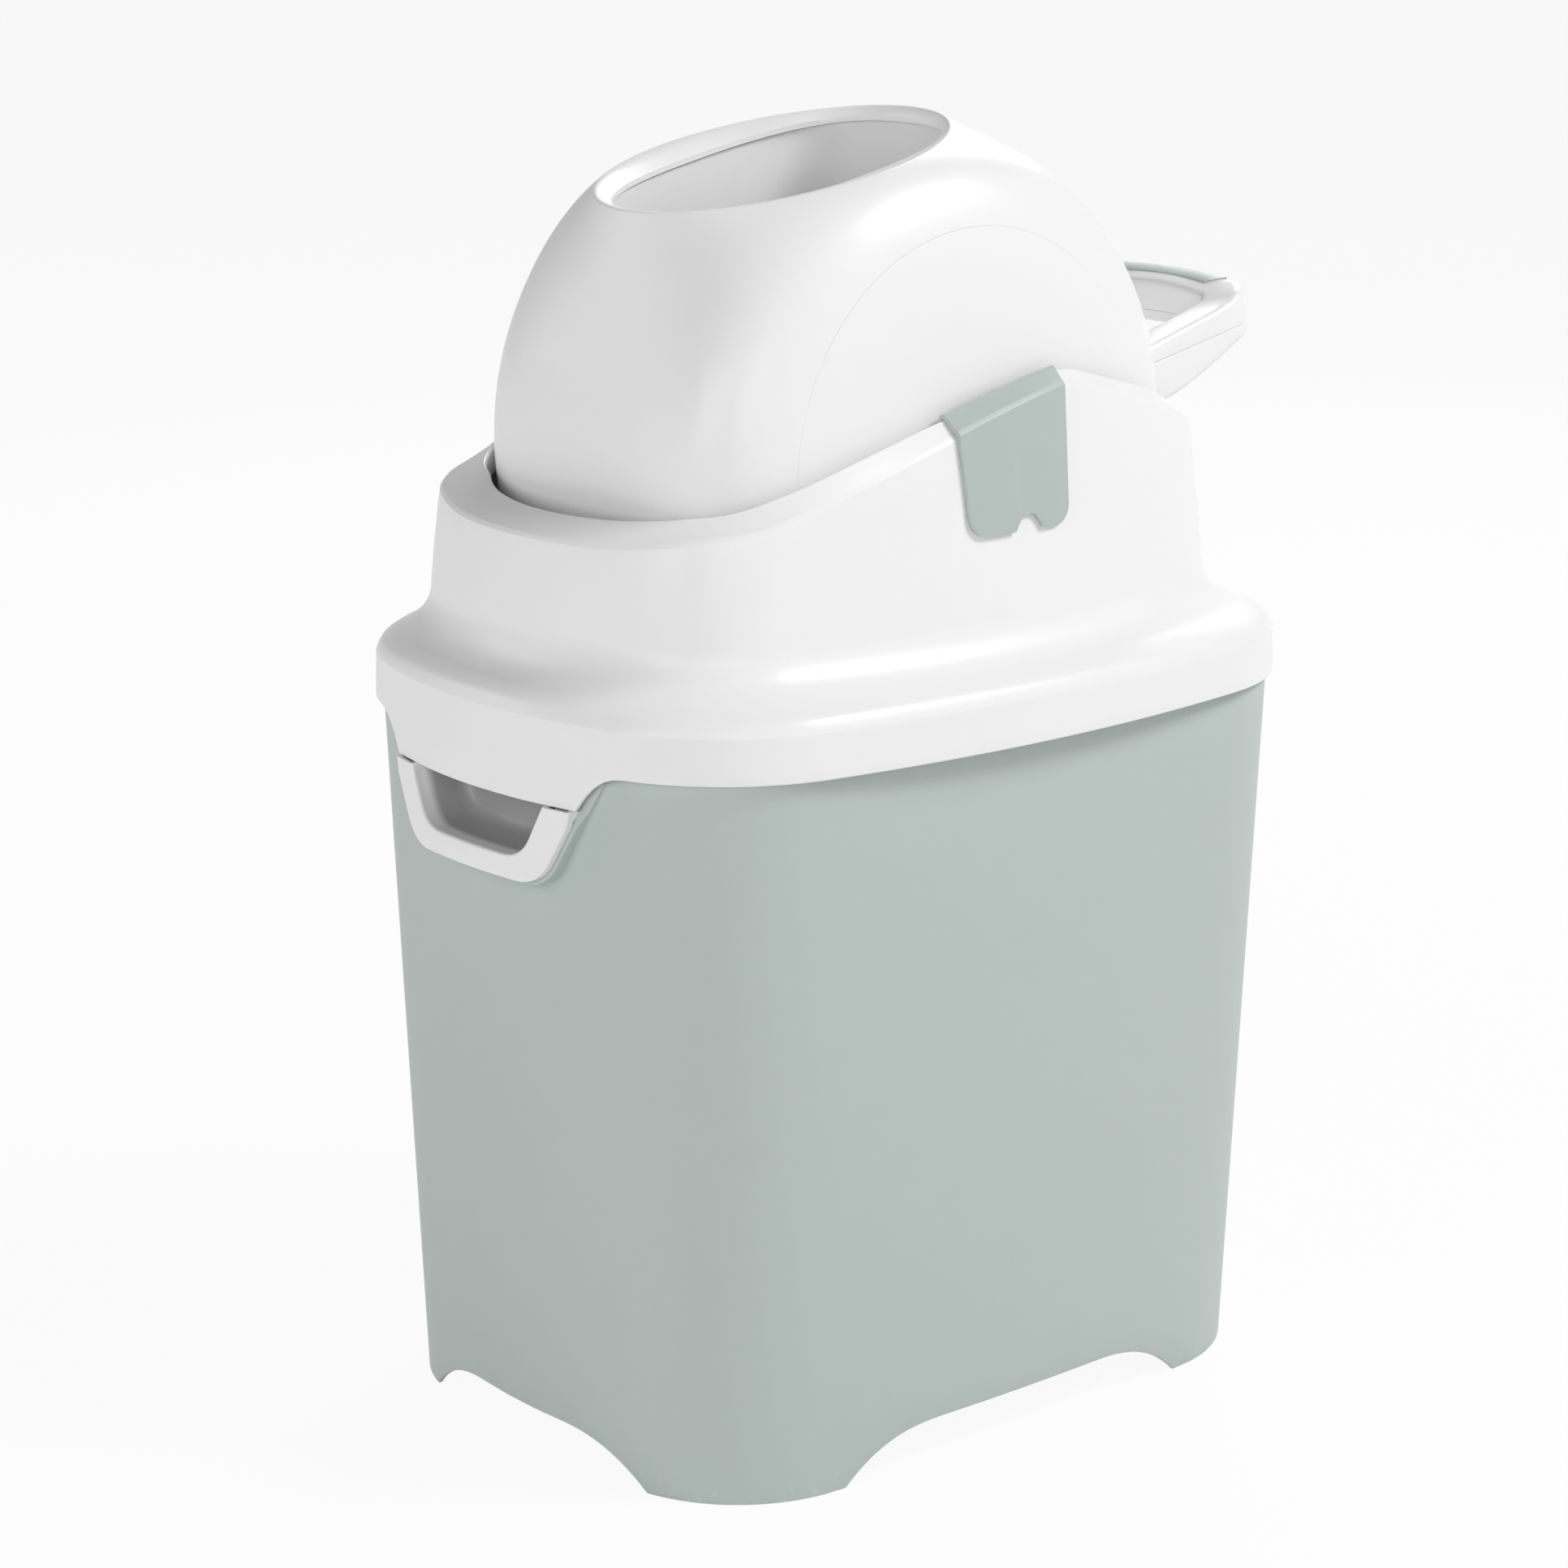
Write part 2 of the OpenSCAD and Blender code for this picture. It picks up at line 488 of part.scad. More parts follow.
// ---- lid ------------------------------------------------------------------------------------------
neck_o = outline(neck_w / 2, neck_l / 2, neck_r, skirt_bow_side, skirt_bow_end);
neck_y = -neck_fwd;
lip_p = 3.2;
lip_rise = 4;                        // lip above the rim's outer edge
slot_half = axle_r + axle_fit;
lid_side = neck_l * 0.3;             // ends of the lid's side, front and back columns
lid_back = neck_w * 0.34;
side_part = [0.35, 0.56, 0.78, 1] * lid_side;
lid_y = concat([for (k = [3:-1:0]) -side_part[k]], [axle_y - slot_half, axle_y + slot_half], side_part);
tab_x = concat([0, 1 / 3, 2 / 3] * tab_w, [for (k = [0, 0.24, 0.48, 0.72, 1]) mix(tab_w, tab_run, k)]);
lid_s = around(lid_y, concat([for (k = [7:-1:1]) -tab_x[k]], tab_x),
               [for (k = [-4:4]) k * lid_back / 4], 6);
function is_slot(s) = s[0] == 0 && abs(abs(s[3] - axle_y) - slot_half) < 0.01;
function lid_q(o, sh, s) = let (q = on(o, sh, s, lid_side, s[2] < 0 ? tab_run : lid_back))
    is_slot(s) ? [q[0], q[1], s[1], 0] : q;
// height of the rim's outer edge: level at the front, a ramp to the peak, a ramp to the back
function rim_z(y) = y < peak_y
    ? let (y0 = 8 - neck_l / 2 - neck_fwd, t = hold((y - y0) / (peak_y - y0)))
        rim_front + (rim_peak - rim_front) * mix(t, soft(t), 0.4)
    : let (y1 = neck_l / 2 - neck_fwd - 6, t = hold((y1 - y) / (y1 - peak_y)))
        rim_back + (rim_peak - rim_back) * mix(t, soft(t), 0.4);
function neck_in(z) = neck_draft * (z - neck_z);
function skirt_low(q) = q[1] > 0 ? skirt_z
    : mix(tab_z, skirt_z, 1 - pow(1 - hold((abs(q[0]) - tab_w) / (tab_run - tab_w)), 2.2));
function lip_at(q) = let (v = [q[0], q[1] - axle_y], u = v / norm(v),
    r = pow(pow(abs(u[0]) / lip_a, lip_p) + pow(abs(u[1]) / lip_b, lip_p), -1 / lip_p))
    [r * u[0], axle_y + r * u[1], u[0], u[1]];
// same lip point, but at a wanted y: for the stations on the long sides
function lip_by(q) = let (y = q[1] - axle_y)
    [sign(q[0]) * lip_a * pow(1 - pow(abs(y) / lip_b, lip_p), 1 / lip_p), q[1], sign(q[0]), 0];
// flange from crease to neck foot: [share of the way, rise above the crease]
flange = [[0, 0], [0.05, 3.2], [0.13, 6.2], [0.32, 9.7],
    [0.53, 12.9], [0.74, 17.3], [0.88, 22.2], [0.97, 28.2]];
slot_z = axle_z - axle_r - axle_fit;
function lid_out(s) = let (
        f = lid_q(skirt_o, 0, s), n = lid_q(neck_o, neck_y, s), zr = rim_z(n[1]),
        l = s[0] == 0 ? lip_by(n) : lip_at(n), zl = zr + lip_rise, zm = min(slot_z, mix(neck_z, zr, 0.6)))
    concat([lift(f, skirt_low(f)), lift(f, crease_z - 2.5)],
        [for (k = flange) lift(mix(go(f, k[0] == 0 ? -0.8 : 0), go(n, 0), k[0]), crease_z + k[1])],
        [lift(go(n, 0), neck_z), lift(go(n, -neck_in(zm)), zm), lift(go(n, -neck_in(zr)), zr - 1.8),
         lift(go(n, -neck_in(zr) - 1.4), zr),
         lift(go(l, 1.5), zl), lift(l, zl - 1.5), lift(l, zl - lip_drop)]);
function lid_in(s) = let (
        f = lid_q(skirt_o, 0, s), n = lid_q(neck_o, neck_y, s), zr = rim_z(n[1]), t = lid_t,
        l = s[0] == 0 ? lip_by(n) : lip_at(n), zl = zr + lip_rise, zm = min(slot_z, mix(neck_z, zr, 0.6)))
    concat([lift(go(f, -t), skirt_low(f)), lift(go(f, -t), crease_z - 3.5)],
        [for (k = flange) lift(mix(go(f, -t), go(n, -t), k[0]),
                               crease_z + k[1] - (k[0] == 0 ? 2 : t * (1 - k[0] * 0.7)))],
        [lift(go(n, -t), neck_z), lift(go(n, -neck_in(zm) - t), zm),
         lift(go(n, -neck_in(zr) - t), zr - t - 1.8), lift(go(n, -neck_in(zr) - t - 1), zr - t),
         lift(go(l, t), zl - t - 1), lift(go(l, t), zl - t - 2.5), lift(go(l, t), zl - lip_drop)]);
lid_rows = len(flange) + 9;
module lid_shell() {
    n = len(lid_s);
    // each side has one axle slot, open at the top, from the row at slot_z up and over the lip
    color(white) shell([for (s = lid_s) lid_out(s)], [for (s = lid_s) lid_in(s)],
        cuts = [for (i = [0:n - 1]) if (is_slot(lid_s[i]) && is_slot(lid_s[(i + 1) % n]))
            [i, i + 1, len(flange) + 3, lid_rows - 1]]);
}

// ---- clips: hook over the rim on each side and close the axle slots ------------------------------
module clip() {
    ya = axle_y + clip_back;
    corner = 9.5;      // radius of the lower corners
    waist = 2.5;       // how much narrower a clip is at its lower edge
    t = clip_t + 0.25; // outer face from the lid's wall
    // stations along the rim: close together at the corners and round the notch
    bend = [for (k = [4:-1:0]) 1 - corner / clip_half * pow(k / 4, 1.5)];
    notch = [for (k = [-4:4]) (notch_back + notch_h * k / 4) / clip_half];
    st = concat([for (k = [4:-1:0]) -bend[k]], [for (k = [1, 2]) mix(-bend[0], notch[0], k / 3)], notch,
                [for (k = [1, 2]) mix(notch[8], bend[0], k / 3)], bend);
    function low(u) = let (c = hold(1 - (1 - abs(u)) * clip_half / corner),
            b = hold(1 - abs(u * clip_half - notch_back) / notch_h))
        clip_z + corner * (1 - sqrt(1 - c * c)) + notch_h * soft(b);
    function face(y, z) = on(neck_o, neck_y, [0, 1, 1, y], lid_side, lid_back)[0] - neck_in(z);
    // outline of the hook in x and z, from the lower edge over the rim and back
    function sec(u) = let (z0 = low(u), y0 = ya + u * (clip_half - waist), y1 = ya + u * clip_half,
            zr = rim_z(y1), x0 = face(y0, z0), x1 = face(y1, zr), xi = lip_a + 0.4)
        [[x0 + 0.25, y0, z0], [x0 + t, y0, z0], [x1 + t, y1, zr - 0.5], [x1 + t - 1.6, y1, zr + t],
         [xi + 1, y1, zr + lip_rise + t + 0.6], [xi - 1.6, y1, zr + lip_rise + t - 0.8],
         [xi - 1.6, y1, zr + lip_rise + 0.6], [xi + 1, y1, zr + lip_rise + 0.35],
         [x1 - 1, y1, zr + 0.35], [x1 + 0.25, y1, zr - 1.4]];
    S = [for (u = st) sec(u)];
    n = len(S);
    m = len(S[0]);
    quads = [for (i = [0:n - 2]) for (j = [0:m - 1])
        let (a = i * m + j, b = i * m + (j + 1) % m, c = b + m, d = a + m) each [[a, b, c], [a, c, d]]];
    // end faces as a strip between the two long sides of the section
    caps = [for (j = [0:m / 2 - 2]) let (a = j, b = j + 1, c = m - 2 - j, d = m - 1 - j)
        each [[a, d, b], [b, d, c]]];
    far_end = [for (f = caps) [f[0], f[2], f[1]] + [1, 1, 1] * (n - 1) * m];
    polyhedron(points = [for (c = S) each c], faces = concat(quads, caps, far_end), convexity = 6);
}
// tongue that drops into the slot and holds the axle down
module clip_tongue() {
    z0 = axle_z + axle_r + 0.3;
    width = 2 * slot_half - 0.8;
    translate([0, axle_y + width / 2, 0]) rotate([90, 0, 0]) linear_extrude(height = width)
        polygon([[lip_a + 1.2, z0], [neck_w / 2 - neck_in(z0) - 0.4, z0],
                 [neck_w / 2 - neck_in(rim_peak - 6) - 1.2, rim_z(axle_y) + 0.6],
                 [lip_a + 2, rim_z(axle_y) + lip_rise + 0.4]]);
}
module clip_right() color(sage) { clip(); clip_tongue(); }
module clip_left() color(sage) mirror([1, 0, 0]) { clip(); clip_tongue(); }

// ---- drum: everything in its own frame, x along the axle, y along the handle, z along the bore ---
module in_drum() translate([0, axle_y, axle_z]) rotate([bore_lean, 0, 0]) children();
skin_w = drum_w / 2 - cap_t - 0.2;   // half width of the drum's skin under the caps
// oval of half axes a, b and squareness p, at angle t from the x axis
function oval(a, b, p, t) = let (c = cos(t), s = sin(t))
    [a * sign(c) * pow(abs(c), 2 / p), b * sign(s) * pow(abs(s), 2 / p)];
// crowned drum: radius about the axle at x, and the surface met along a direction
function crown(x, w, r) = r * pow(max(1 - pow(abs(x) / w, drum_p), 0), 1 / drum_p);
function meet(u, w, r) =
    u * pow(pow(abs(u[0]) / w, drum_p) + pow(norm([u[1], u[2]]) / r, drum_p), -1 / drum_p);
drum_n = 48;
// a column runs from the throat of the upper mouth, over its rim and down the drum to the lower one
function drum_half(t, in) = let (
        th = oval(throat_w / 2, throat_l / 2, 2.4, t), rm = oval(rim_w / 2, rim_l / 2, 2, t),
        e = [rm[0], rm[1] + mouth_mid, mouth_up], g = [th[0], th[1] + throat_mid, mouth_up - throat_down],
        ue = e / norm(e), edge = acos(ue[2]), d = in ? skin : 0,
        h = ue[2] > 0.9999 ? [1, 0] : [ue[0], ue[1]] / norm([ue[0], ue[1]]),
        lift0 = norm(e) - norm(meet(ue, skin_w, drum_r)),
        row = [for (k = [1:8])
            let (a = mix(edge, 90, pow(k / 8, 1.25)), u = [h[0] * sin(a), h[1] * sin(a), cos(a)],
                 f = 1 - hold((a - edge) / 24), m = meet(u, skin_w - d, drum_r - d))
            m + u * lift0 * f * f * f])
    concat([g - [0, 0, in ? skin : 0]], [mix(g, e, 0.75) + [0, 0, in ? -skin : 0.6]],
           [e - (in ? ue * 1.2 * skin + [0, 0, 0.4] : [0, 0, 0])], row);
function drum_col(t, in) = let (a = drum_half(t, in))
    concat(a, [for (k = [len(a) - 2:-1:0]) [a[k][0], a[k][1], -a[k][2]]]);
module drum_shell() {
    color(white) in_drum() shell(
        [for (k = [0:drum_n - 1]) drum_col(-k * 360 / drum_n, false)],
        [for (k = [0:drum_n - 1]) drum_col(-k * 360 / drum_n, true)]);
}
// end cap: a thin dished cover on the drum's side, with the axle stub
module drum_cap() {
    n = 9;
    r = [for (k = [0:n]) cap_r * sin(90 * k / n)];
    function width(rad, w, big) = w * pow(1 - pow(rad / big, drum_p), 1 / drum_p);
    rotate([0, 90, 0]) rotate_extrude($fn = 120) polygon(concat(
        [for (k = [0:n]) [r[k], width(r[k], drum_w / 2, drum_r + 0.6)]],
        [for (k = [n:-1:0]) [r[k], width(r[k], skin_w + 0.2, drum_r + 0.2)]]));
    rotate([0, 90, 0]) translate([0, 0, drum_w / 2 - cap_t])
        cylinder(r = axle_r, h = neck_w / 2 - neck_in(axle_z + axle_r) - seat - drum_w / 2 + cap_t,
                 $fn = 64);
}
module drum_cap_right() color(white) in_drum() drum_cap();
module drum_cap_left() color(white) in_drum() mirror([1, 0, 0]) drum_cap();

// ---- bore liner and piston ------------------------------------------------------------------------
bore_top = mouth_up - throat_down - skin - seat;
module bore_oval(d) translate([0, throat_mid])
    polygon([for (k = [0:47]) oval(throat_w / 2 + d, throat_l / 2 + d, 2.4, k * 7.5)]);
module bore_liner() {
    color([0.86, 0.86, 0.86]) in_drum() translate([0, 0, -bore_top]) linear_extrude(height = 2 * bore_top)
        difference() { bore_oval(ledge + liner_t); bore_oval(ledge); }
}
module piston() {
    inside = ledge - piston_gap - 2.4;
    web = piston_h / 2;
    color([0.8, 0.8, 0.81]) in_drum() translate([0, 0, -bore_top]) difference() {
        linear_extrude(height = piston_h) bore_oval(ledge - piston_gap);
        translate([0, 0, -1]) linear_extrude(height = web - 0.5) bore_oval(inside);
        translate([0, 0, web + 1.5]) linear_extrude(height = piston_h) bore_oval(inside);
        translate([0, 0, web - 3]) linear_extrude(height = 6) difference() {
            bore_oval(ledge + 3);
            bore_oval(ledge - piston_gap - 1.4);
        }
    }
}
module piston_seal() {
    color([0.35, 0.36, 0.36]) in_drum() translate([0, 0, -bore_top + piston_h / 2 - 2.6])
        linear_extrude(height = 5.2)
            difference() { bore_oval(ledge - 0.3); bore_oval(ledge - piston_gap - 1.2); }
}

// ---- handle ------------------------------------------------------------------------------------------
// plan of the loop, in x and y of the drum's frame: two arms and a bowed cross bar
bar_bow = 7;
function loop_edge(half, reach, bow, r) = let (n = 8) concat(
    [[half, root_y]],
    [for (k = [0:n]) [half - r + r * cos(k * 90 / n), reach - bow - r + r * sin(k * 90 / n)]],
    [for (k = [-3:3]) let (x = -k / 4 * (half - r)) [x, reach - bow * pow(x / (half - r), 2)]],
    [for (k = [0:n]) [-half + r - r * sin(k * 90 / n), reach - bow - r + r * cos(k * 90 / n)]],
    [[-half, root_y]]);
module handle_plan(d = 0) difference() {
    polygon(loop_edge(handle_half - d, handle_reach - d, bar_bow, 17 - d));
    polygon(loop_edge(handle_half - arm_w + d, handle_reach - bar_w + d, bar_bow, 9));
}
// keeps the handle clear of the drum's skin and, underneath, tapers it towards the tip
module drum_body(d) rotate([0, 90, 0]) rotate_extrude($fn = 120) polygon(concat(
    [for (k = [-12:12]) let (x = k / 12 * (skin_w - 4)) [crown(x, skin_w, drum_r) + d, x]],
    [[0, skin_w - 4], [0, -skin_w + 4]]));
root_y = drum_r * 0.6;               // the loop is drawn from inside the drum
module under_side() rotate([90, 0, 90]) translate([0, 0, -far / 2]) linear_extrude(height = far)
    polygon([[root_y, handle_top - root_deep - handle_deep / 2], [drum_r, handle_top - root_deep],
             [handle_reach, handle_top - handle_deep], [far, handle_top - handle_deep],
             [far, far], [root_y, far]]);
bar_rise = 4.5;                      // raised back edge of the cross bar
inlay_t = 2;
split_z = handle_top - 11;           // joint between the two shells
module handle_upper() {
    color(white) in_drum() difference() {
        union() {
            translate([0, 0, split_z]) linear_extrude(height = handle_top - split_z) handle_plan();
            intersection() {
                translate([0, 0, handle_top - 1]) linear_extrude(height = bar_rise + 1) handle_plan(1.2);
                translate([-far / 2, handle_reach - bar_w - 3, -far / 2]) cube(far);
            }
        }
        translate([0, 0, handle_top + bar_rise - 1.5]) linear_extrude(height = far) inlay_plan(0.15);
        drum_body(seat);
    }
}
module handle_lower() {
    color(white) in_drum() difference() {
        intersection() {
            translate([0, 0, split_z - 0.2 - 2 * root_deep])
                linear_extrude(height = 2 * root_deep) handle_plan(0.4);
            under_side();
        }
        drum_body(seat);
    }
}
module inlay_plan(d) intersection() {
    difference() {
        polygon(loop_edge(handle_half - 3 + d, handle_reach - 2.5 + d, bar_bow, 14));
        polygon(loop_edge(handle_half - 8 - d, handle_reach - 8.5 - d, bar_bow, 10));
    }
    translate([-far / 2, handle_reach - bar_w - 1]) square(far);
}
module handle_inlay() {
    color(sage) in_drum() translate([0, 0, handle_top + bar_rise - 1.35])
        linear_extrude(height = inlay_t) inlay_plan(0);
}
// screws from inside the drum hold the arms
module handle_screws() {
    head_r = arm_w * 0.21;
    head_h = skin * 1.25;
    x = handle_half - arm_w / 2;
    r = crown(x + head_r, skin_w - skin, drum_r - skin);
    color([0.7, 0.7, 0.72]) in_drum() for (s = [-1, 1]) for (z = [-0.15, -0.6] * root_deep)
        translate([s * x, sqrt(r * r - pow(abs(z) + head_r, 2)) - head_h - 2 * seat, z])
            rotate([-90, 0, 0]) cylinder(r = head_r, h = head_h, $fn = 32);
}

bucket();
grip_cup();
bag_ring();
hinge_bracket();
hinge_pin();
lid_shell();
lid_hinge();
clip_right();
clip_left();
drum_shell();
drum_cap_right();
drum_cap_left();
bore_liner();
handle_upper();
handle_lower();
handle_inlay();
handle_screws();
piston();
piston_seal();
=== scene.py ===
"""Looks of the nappy bin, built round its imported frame.

Lengths below are millimetres and become metres when a mesh is made.  -Y is the front with the finger grip,
+X and -X are the clip sides, +Y is the back with the lid hinge and, at rest, the drum's handle.
"""
from contextlib import contextmanager
from math import acos, asin, atan2, copysign, cos, hypot, pi, radians, sin, sqrt, tan

import bmesh
import bpy
from mathutils import Matrix, Vector


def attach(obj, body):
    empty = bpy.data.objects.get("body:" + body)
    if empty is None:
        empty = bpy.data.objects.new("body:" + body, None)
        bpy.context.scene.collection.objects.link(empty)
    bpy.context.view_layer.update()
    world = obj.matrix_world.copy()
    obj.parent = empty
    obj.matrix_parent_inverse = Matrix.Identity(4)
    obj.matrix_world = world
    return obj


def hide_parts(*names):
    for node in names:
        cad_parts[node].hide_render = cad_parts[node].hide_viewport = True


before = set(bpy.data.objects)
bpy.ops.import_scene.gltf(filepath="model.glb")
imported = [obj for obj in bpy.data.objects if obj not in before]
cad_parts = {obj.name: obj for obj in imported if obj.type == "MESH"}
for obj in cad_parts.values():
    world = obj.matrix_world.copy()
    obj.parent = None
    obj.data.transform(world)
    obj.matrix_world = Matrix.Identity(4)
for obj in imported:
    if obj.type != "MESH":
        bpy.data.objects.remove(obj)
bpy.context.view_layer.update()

MM = 0.001

# ---- sizes of the real thing
# bucket
BASE_W, BASE_L = 279.6, 378.6
MOUTH_W, MOUTH_L = 297.4, 406.0
BUCKET_R, BOW_SIDE, BOW_END = 74.5, 13.0, 32.0
BUCKET_H, WALL = 359.0, 2.6
FLOOR_Z, FLOOR_T = 24.0, 3.0
ARCH_H, ARCH_SIDE, ARCH_END, ARCH_FLAT_SIDE, ARCH_FLAT_END = 21.0, 106.0, 82.0, 45.0, 25.0
RIM_H, RIM_GAP = 16.0, 1.6
ROWS_IN, ROWS_OUT = (60, 140, 220, 290), (320, 290, 250, 200, 150, 100, 60, 35)    # heights of mesh rows
# front grip
GRIP_LOW, GRIP_HIGH, GRIP_Z, GRIP_TOP, GRIP_R = 46.6, 67.7, 285.3, 322.0, 23.0
POCKET_LOW, POCKET_HIGH, POCKET_Z, POCKET_R = 35.8, 49.0, 296.3, 19.5
FRAME_T, FRAME_OUT, FRAME_STEP, POCKET_DEEP = 3.4, 2.0, 2.4, 27.0
POCKET_WALL, POCKET_UP, POCKET_TOP, POCKET_ROOF = 1.8, 330.0, 331.5, (329.2, 331.0)
BOSS_EDGE, BOSS_TOP, BOSS_MID, BOSS_STEP_Z = 2.2, 337.0, 318.0, 317.0
PATH_STEPS = 10                       # along each straight and round each corner of these outlines
# lid
SKIRT_W, SKIRT_L, SKIRT_R, SKIRT_BOW_X, SKIRT_BOW_Y = 316.2, 422.4, 91.0, 30.0, 50.0
SKIRT_Z, CREASE_Z, LID_T = 340.0, 361.0, 2.6
NECK_W, NECK_L, NECK_R, NECK_FWD, NECK_DRAFT, NECK_Z = 260.2, 366.4, 63.0, 5.5, 0.12, 400.0
RIM_FRONT, RIM_PEAK, RIM_BACK, PEAK_Y, PEAK_END = 434.0, 491.0, 455.0, 38.0, 52.0
SWELL, SWELL_Y, SWELL_RUN = 2.4, -160.0, 32.0    # the rim stands a little higher at its front corners
TAB_Z, TAB_W, TAB_RUN = 322.5, 66.5, 91.0
LID_SIDE, BACK_RUN = 122.0, 88.0      # stations of the sides and of the back reach this far
RIM_INSET = LID_T + RIM_GAP
LIP_GAP, LIP_FRONT, LIP_DROP = 4.0, 2.0, 13.0
SLOT_FIT, SLOT_TOP, SLOT_IN, SLOT_OUT = 0.06, 520.0, 104.0, 140.0    # cut for the axle stub
LIP_KNOTS = [(-172, 440.4), (-157, 442.3), (-142, 446.0), (-131, 449.7), (-116, 455.7), (-96, 462.6), (-75, 469.2),
             (-52, 475.6), (-32, 480.6), (0, 488.4), (34, 496.0), (47, 496.2), (63, 492.0), (82, 486.6), (102, 480.6),
             (125, 470.5), (145, 458.5), (172, 456.0)]
FLANGE = [(0.0, 0.0), (0.05, 3.2), (0.13, 6.2), (0.32, 9.7), (0.53, 12.9), (0.74, 17.3), (0.88, 22.2),
          (0.97, 28.2), (1.0, 36.0)]
# drum, in its own frame: x along the axle, y along the handle, z along the bore
AXLE_Y, AXLE_Z, LEAN = -1.0, 459.0, radians(12)
AXLE_R, DRUM_W, DRUM_R, DRUM_P = 8.0, 212.0, 146.0, 4.45
DRUM_ROWS, DRUM_COLUMNS, COLLAR = 36, 168, radians(26)
MOUTH_UP, RIM_A, RIM_B, RIM_MID, RIM_P = 133.3, 78.5, 86.0, -7.0, 1.95
THROAT_A, THROAT_B, THROAT_MID, THROAT_DOWN, THROAT_P = 58.7, 79.3, -4.8, 4.4, 2.6
SKIN, CAP_R, CAP_SIDES, CAP_SEAM, CAP_IN, CAP_OUT = 2.4, 104.0, 160, 0.06, 84.0, 112.0
LEDGE, LINER_T, PISTON_H, PISTON_GAP = 1.5, 1.8, 44.0, 0.6
BORE_TOP = MOUTH_UP - THROAT_DOWN - SKIN - 0.3
LIP_A = DRUM_W / 2 + LIP_GAP
# handle, in the drum's frame
REACH, HALF, ARM_W, BAR_W, BAR_BOW, HANDLE_ROOT = 232.5, 61.0, 19.0, 16.0, 3.0, 139.0
TOP_LINE = [(140, -2.6), (157, -0.6), (173, 0.8), (194, 2.2), (208, 3.2), (214, 5.2), (219, 7.4), (REACH, 9.2)]
LOW_LINE = [(140, -32.0), (170, -30.0), (197, -23.0), (218, -15.5), (REACH, -12.0)]
SPLIT, SPLIT_GAP = -9.2, 0.2
INLAY_BACK, INLAY_FRONT, INLAY_WIDE = 41.0, 33.0, 7.2
SCREW_R, SCREW_H = 4.0, 3.0
# clips
CLIP_HALF, CLIP_BACK, CLIP_Z, CLIP_T = 33.0, 3.5, 429.5, 2.0
CLIP_R, CLIP_CORNER = 9.5, 0.30       # the corner's height, and its share of the half width
NOTCH_Y, NOTCH_W, NOTCH_H = 5.2, 9.4, 7.2
SIDES = (1, "right"), (-1, "left")
# bag ring
HEM_OUT, HEM_FIT, HEM_T, HEM_DOWN, HEM_RISE = 1.0, 0.3, 2.0, 12.0, 0.35
MERGE, SLIVER = 1e-6, 1e-7            # metres


# ---- plain maths
def vec(*c):
    return Vector(c)


def mix(a, b, t):
    return a + (b - a) * t


def hold(t):
    return min(max(t, 0.0), 1.0)


def soft(t):
    t = hold(t)
    return t * t * (3 - 2 * t)


def span(a, b, n):
    """n + 1 even steps from a to b"""
    return [mix(a, b, k / n) for k in range(n + 1)]


def across(a, n):
    return span(-a, a, n)


class Outline:
    """A rounded rectangle whose sides bow outwards: half sizes a and b, corner radius r, bows of the sides."""

    def __init__(self, a, b, r, bow_x, bow_y):
        self.rx, self.ry, self.r = (b * b + bow_x**2) / (2 * bow_x), (a * a + bow_y**2) / (2 * bow_y), r
        self.x0, self.y1 = a - self.rx, b - self.ry
        gap = hypot(self.x0, self.y1)
        ux, uy = -self.x0 / gap, self.y1 / gap
        m = ((self.rx - r) ** 2 - (self.ry - r) ** 2 + gap * gap) / (2 * gap)
        h = sqrt(max((self.rx - r) ** 2 - m * m, 0))
        sides = [(self.x0 + m * ux + k * h * uy, m * uy - k * h * ux) for k in (1, -1)]
        self.c = max(sides, key=sum)
        self.t0 = atan2(self.c[1], self.c[0] - self.x0)
        self.t1 = atan2(self.c[1] - self.y1, self.c[0])

    def turn_y(self, y):
        return asin(y / self.rx) if y <= self.rx * sin(self.t0) else asin((y - self.c[1]) / self.r)

    def turn_x(self, x):
        return acos(x / self.ry) if x <= self.ry * cos(self.t1) else acos((x - self.c[0]) / self.r)

    def at_turn(self, t):
        c, s = cos(t), sin(t)
        if t < self.t0:
            return self.x0 + self.rx * c, self.rx * s
        if t < self.t1:
            return self.c[0] + self.r * c, self.c[1] + self.r * s
        return self.ry * c, self.y1 + self.ry * s

    def at(self, station, end_y, end_x, shift=0.0):
        """Point and outward normal at a station; the outline is moved along y by shift"""
        kind, sx, sy, v = station
        if kind == "side":
            t = self.turn_y(abs(v - shift))
            sy = -1 if v < shift else 1
        elif kind == "end":
            t = self.turn_x(abs(v))
            sx = -1 if v < 0 else 1
        else:
            t = mix(self.turn_y(end_y - sy * shift), self.turn_x(end_x), v)
        x, y = self.at_turn(t)
        return vec(sx * x, shift + sy * y), vec(sx * cos(t), sy * sin(t))


def crown(at, reach=DRUM_W / 2, height=DRUM_R):
    """The drum's crowned line: full height in the middle, nothing at its reach"""
    return height * (1 - hold(abs(at) / reach) ** DRUM_P) ** (1 / DRUM_P)


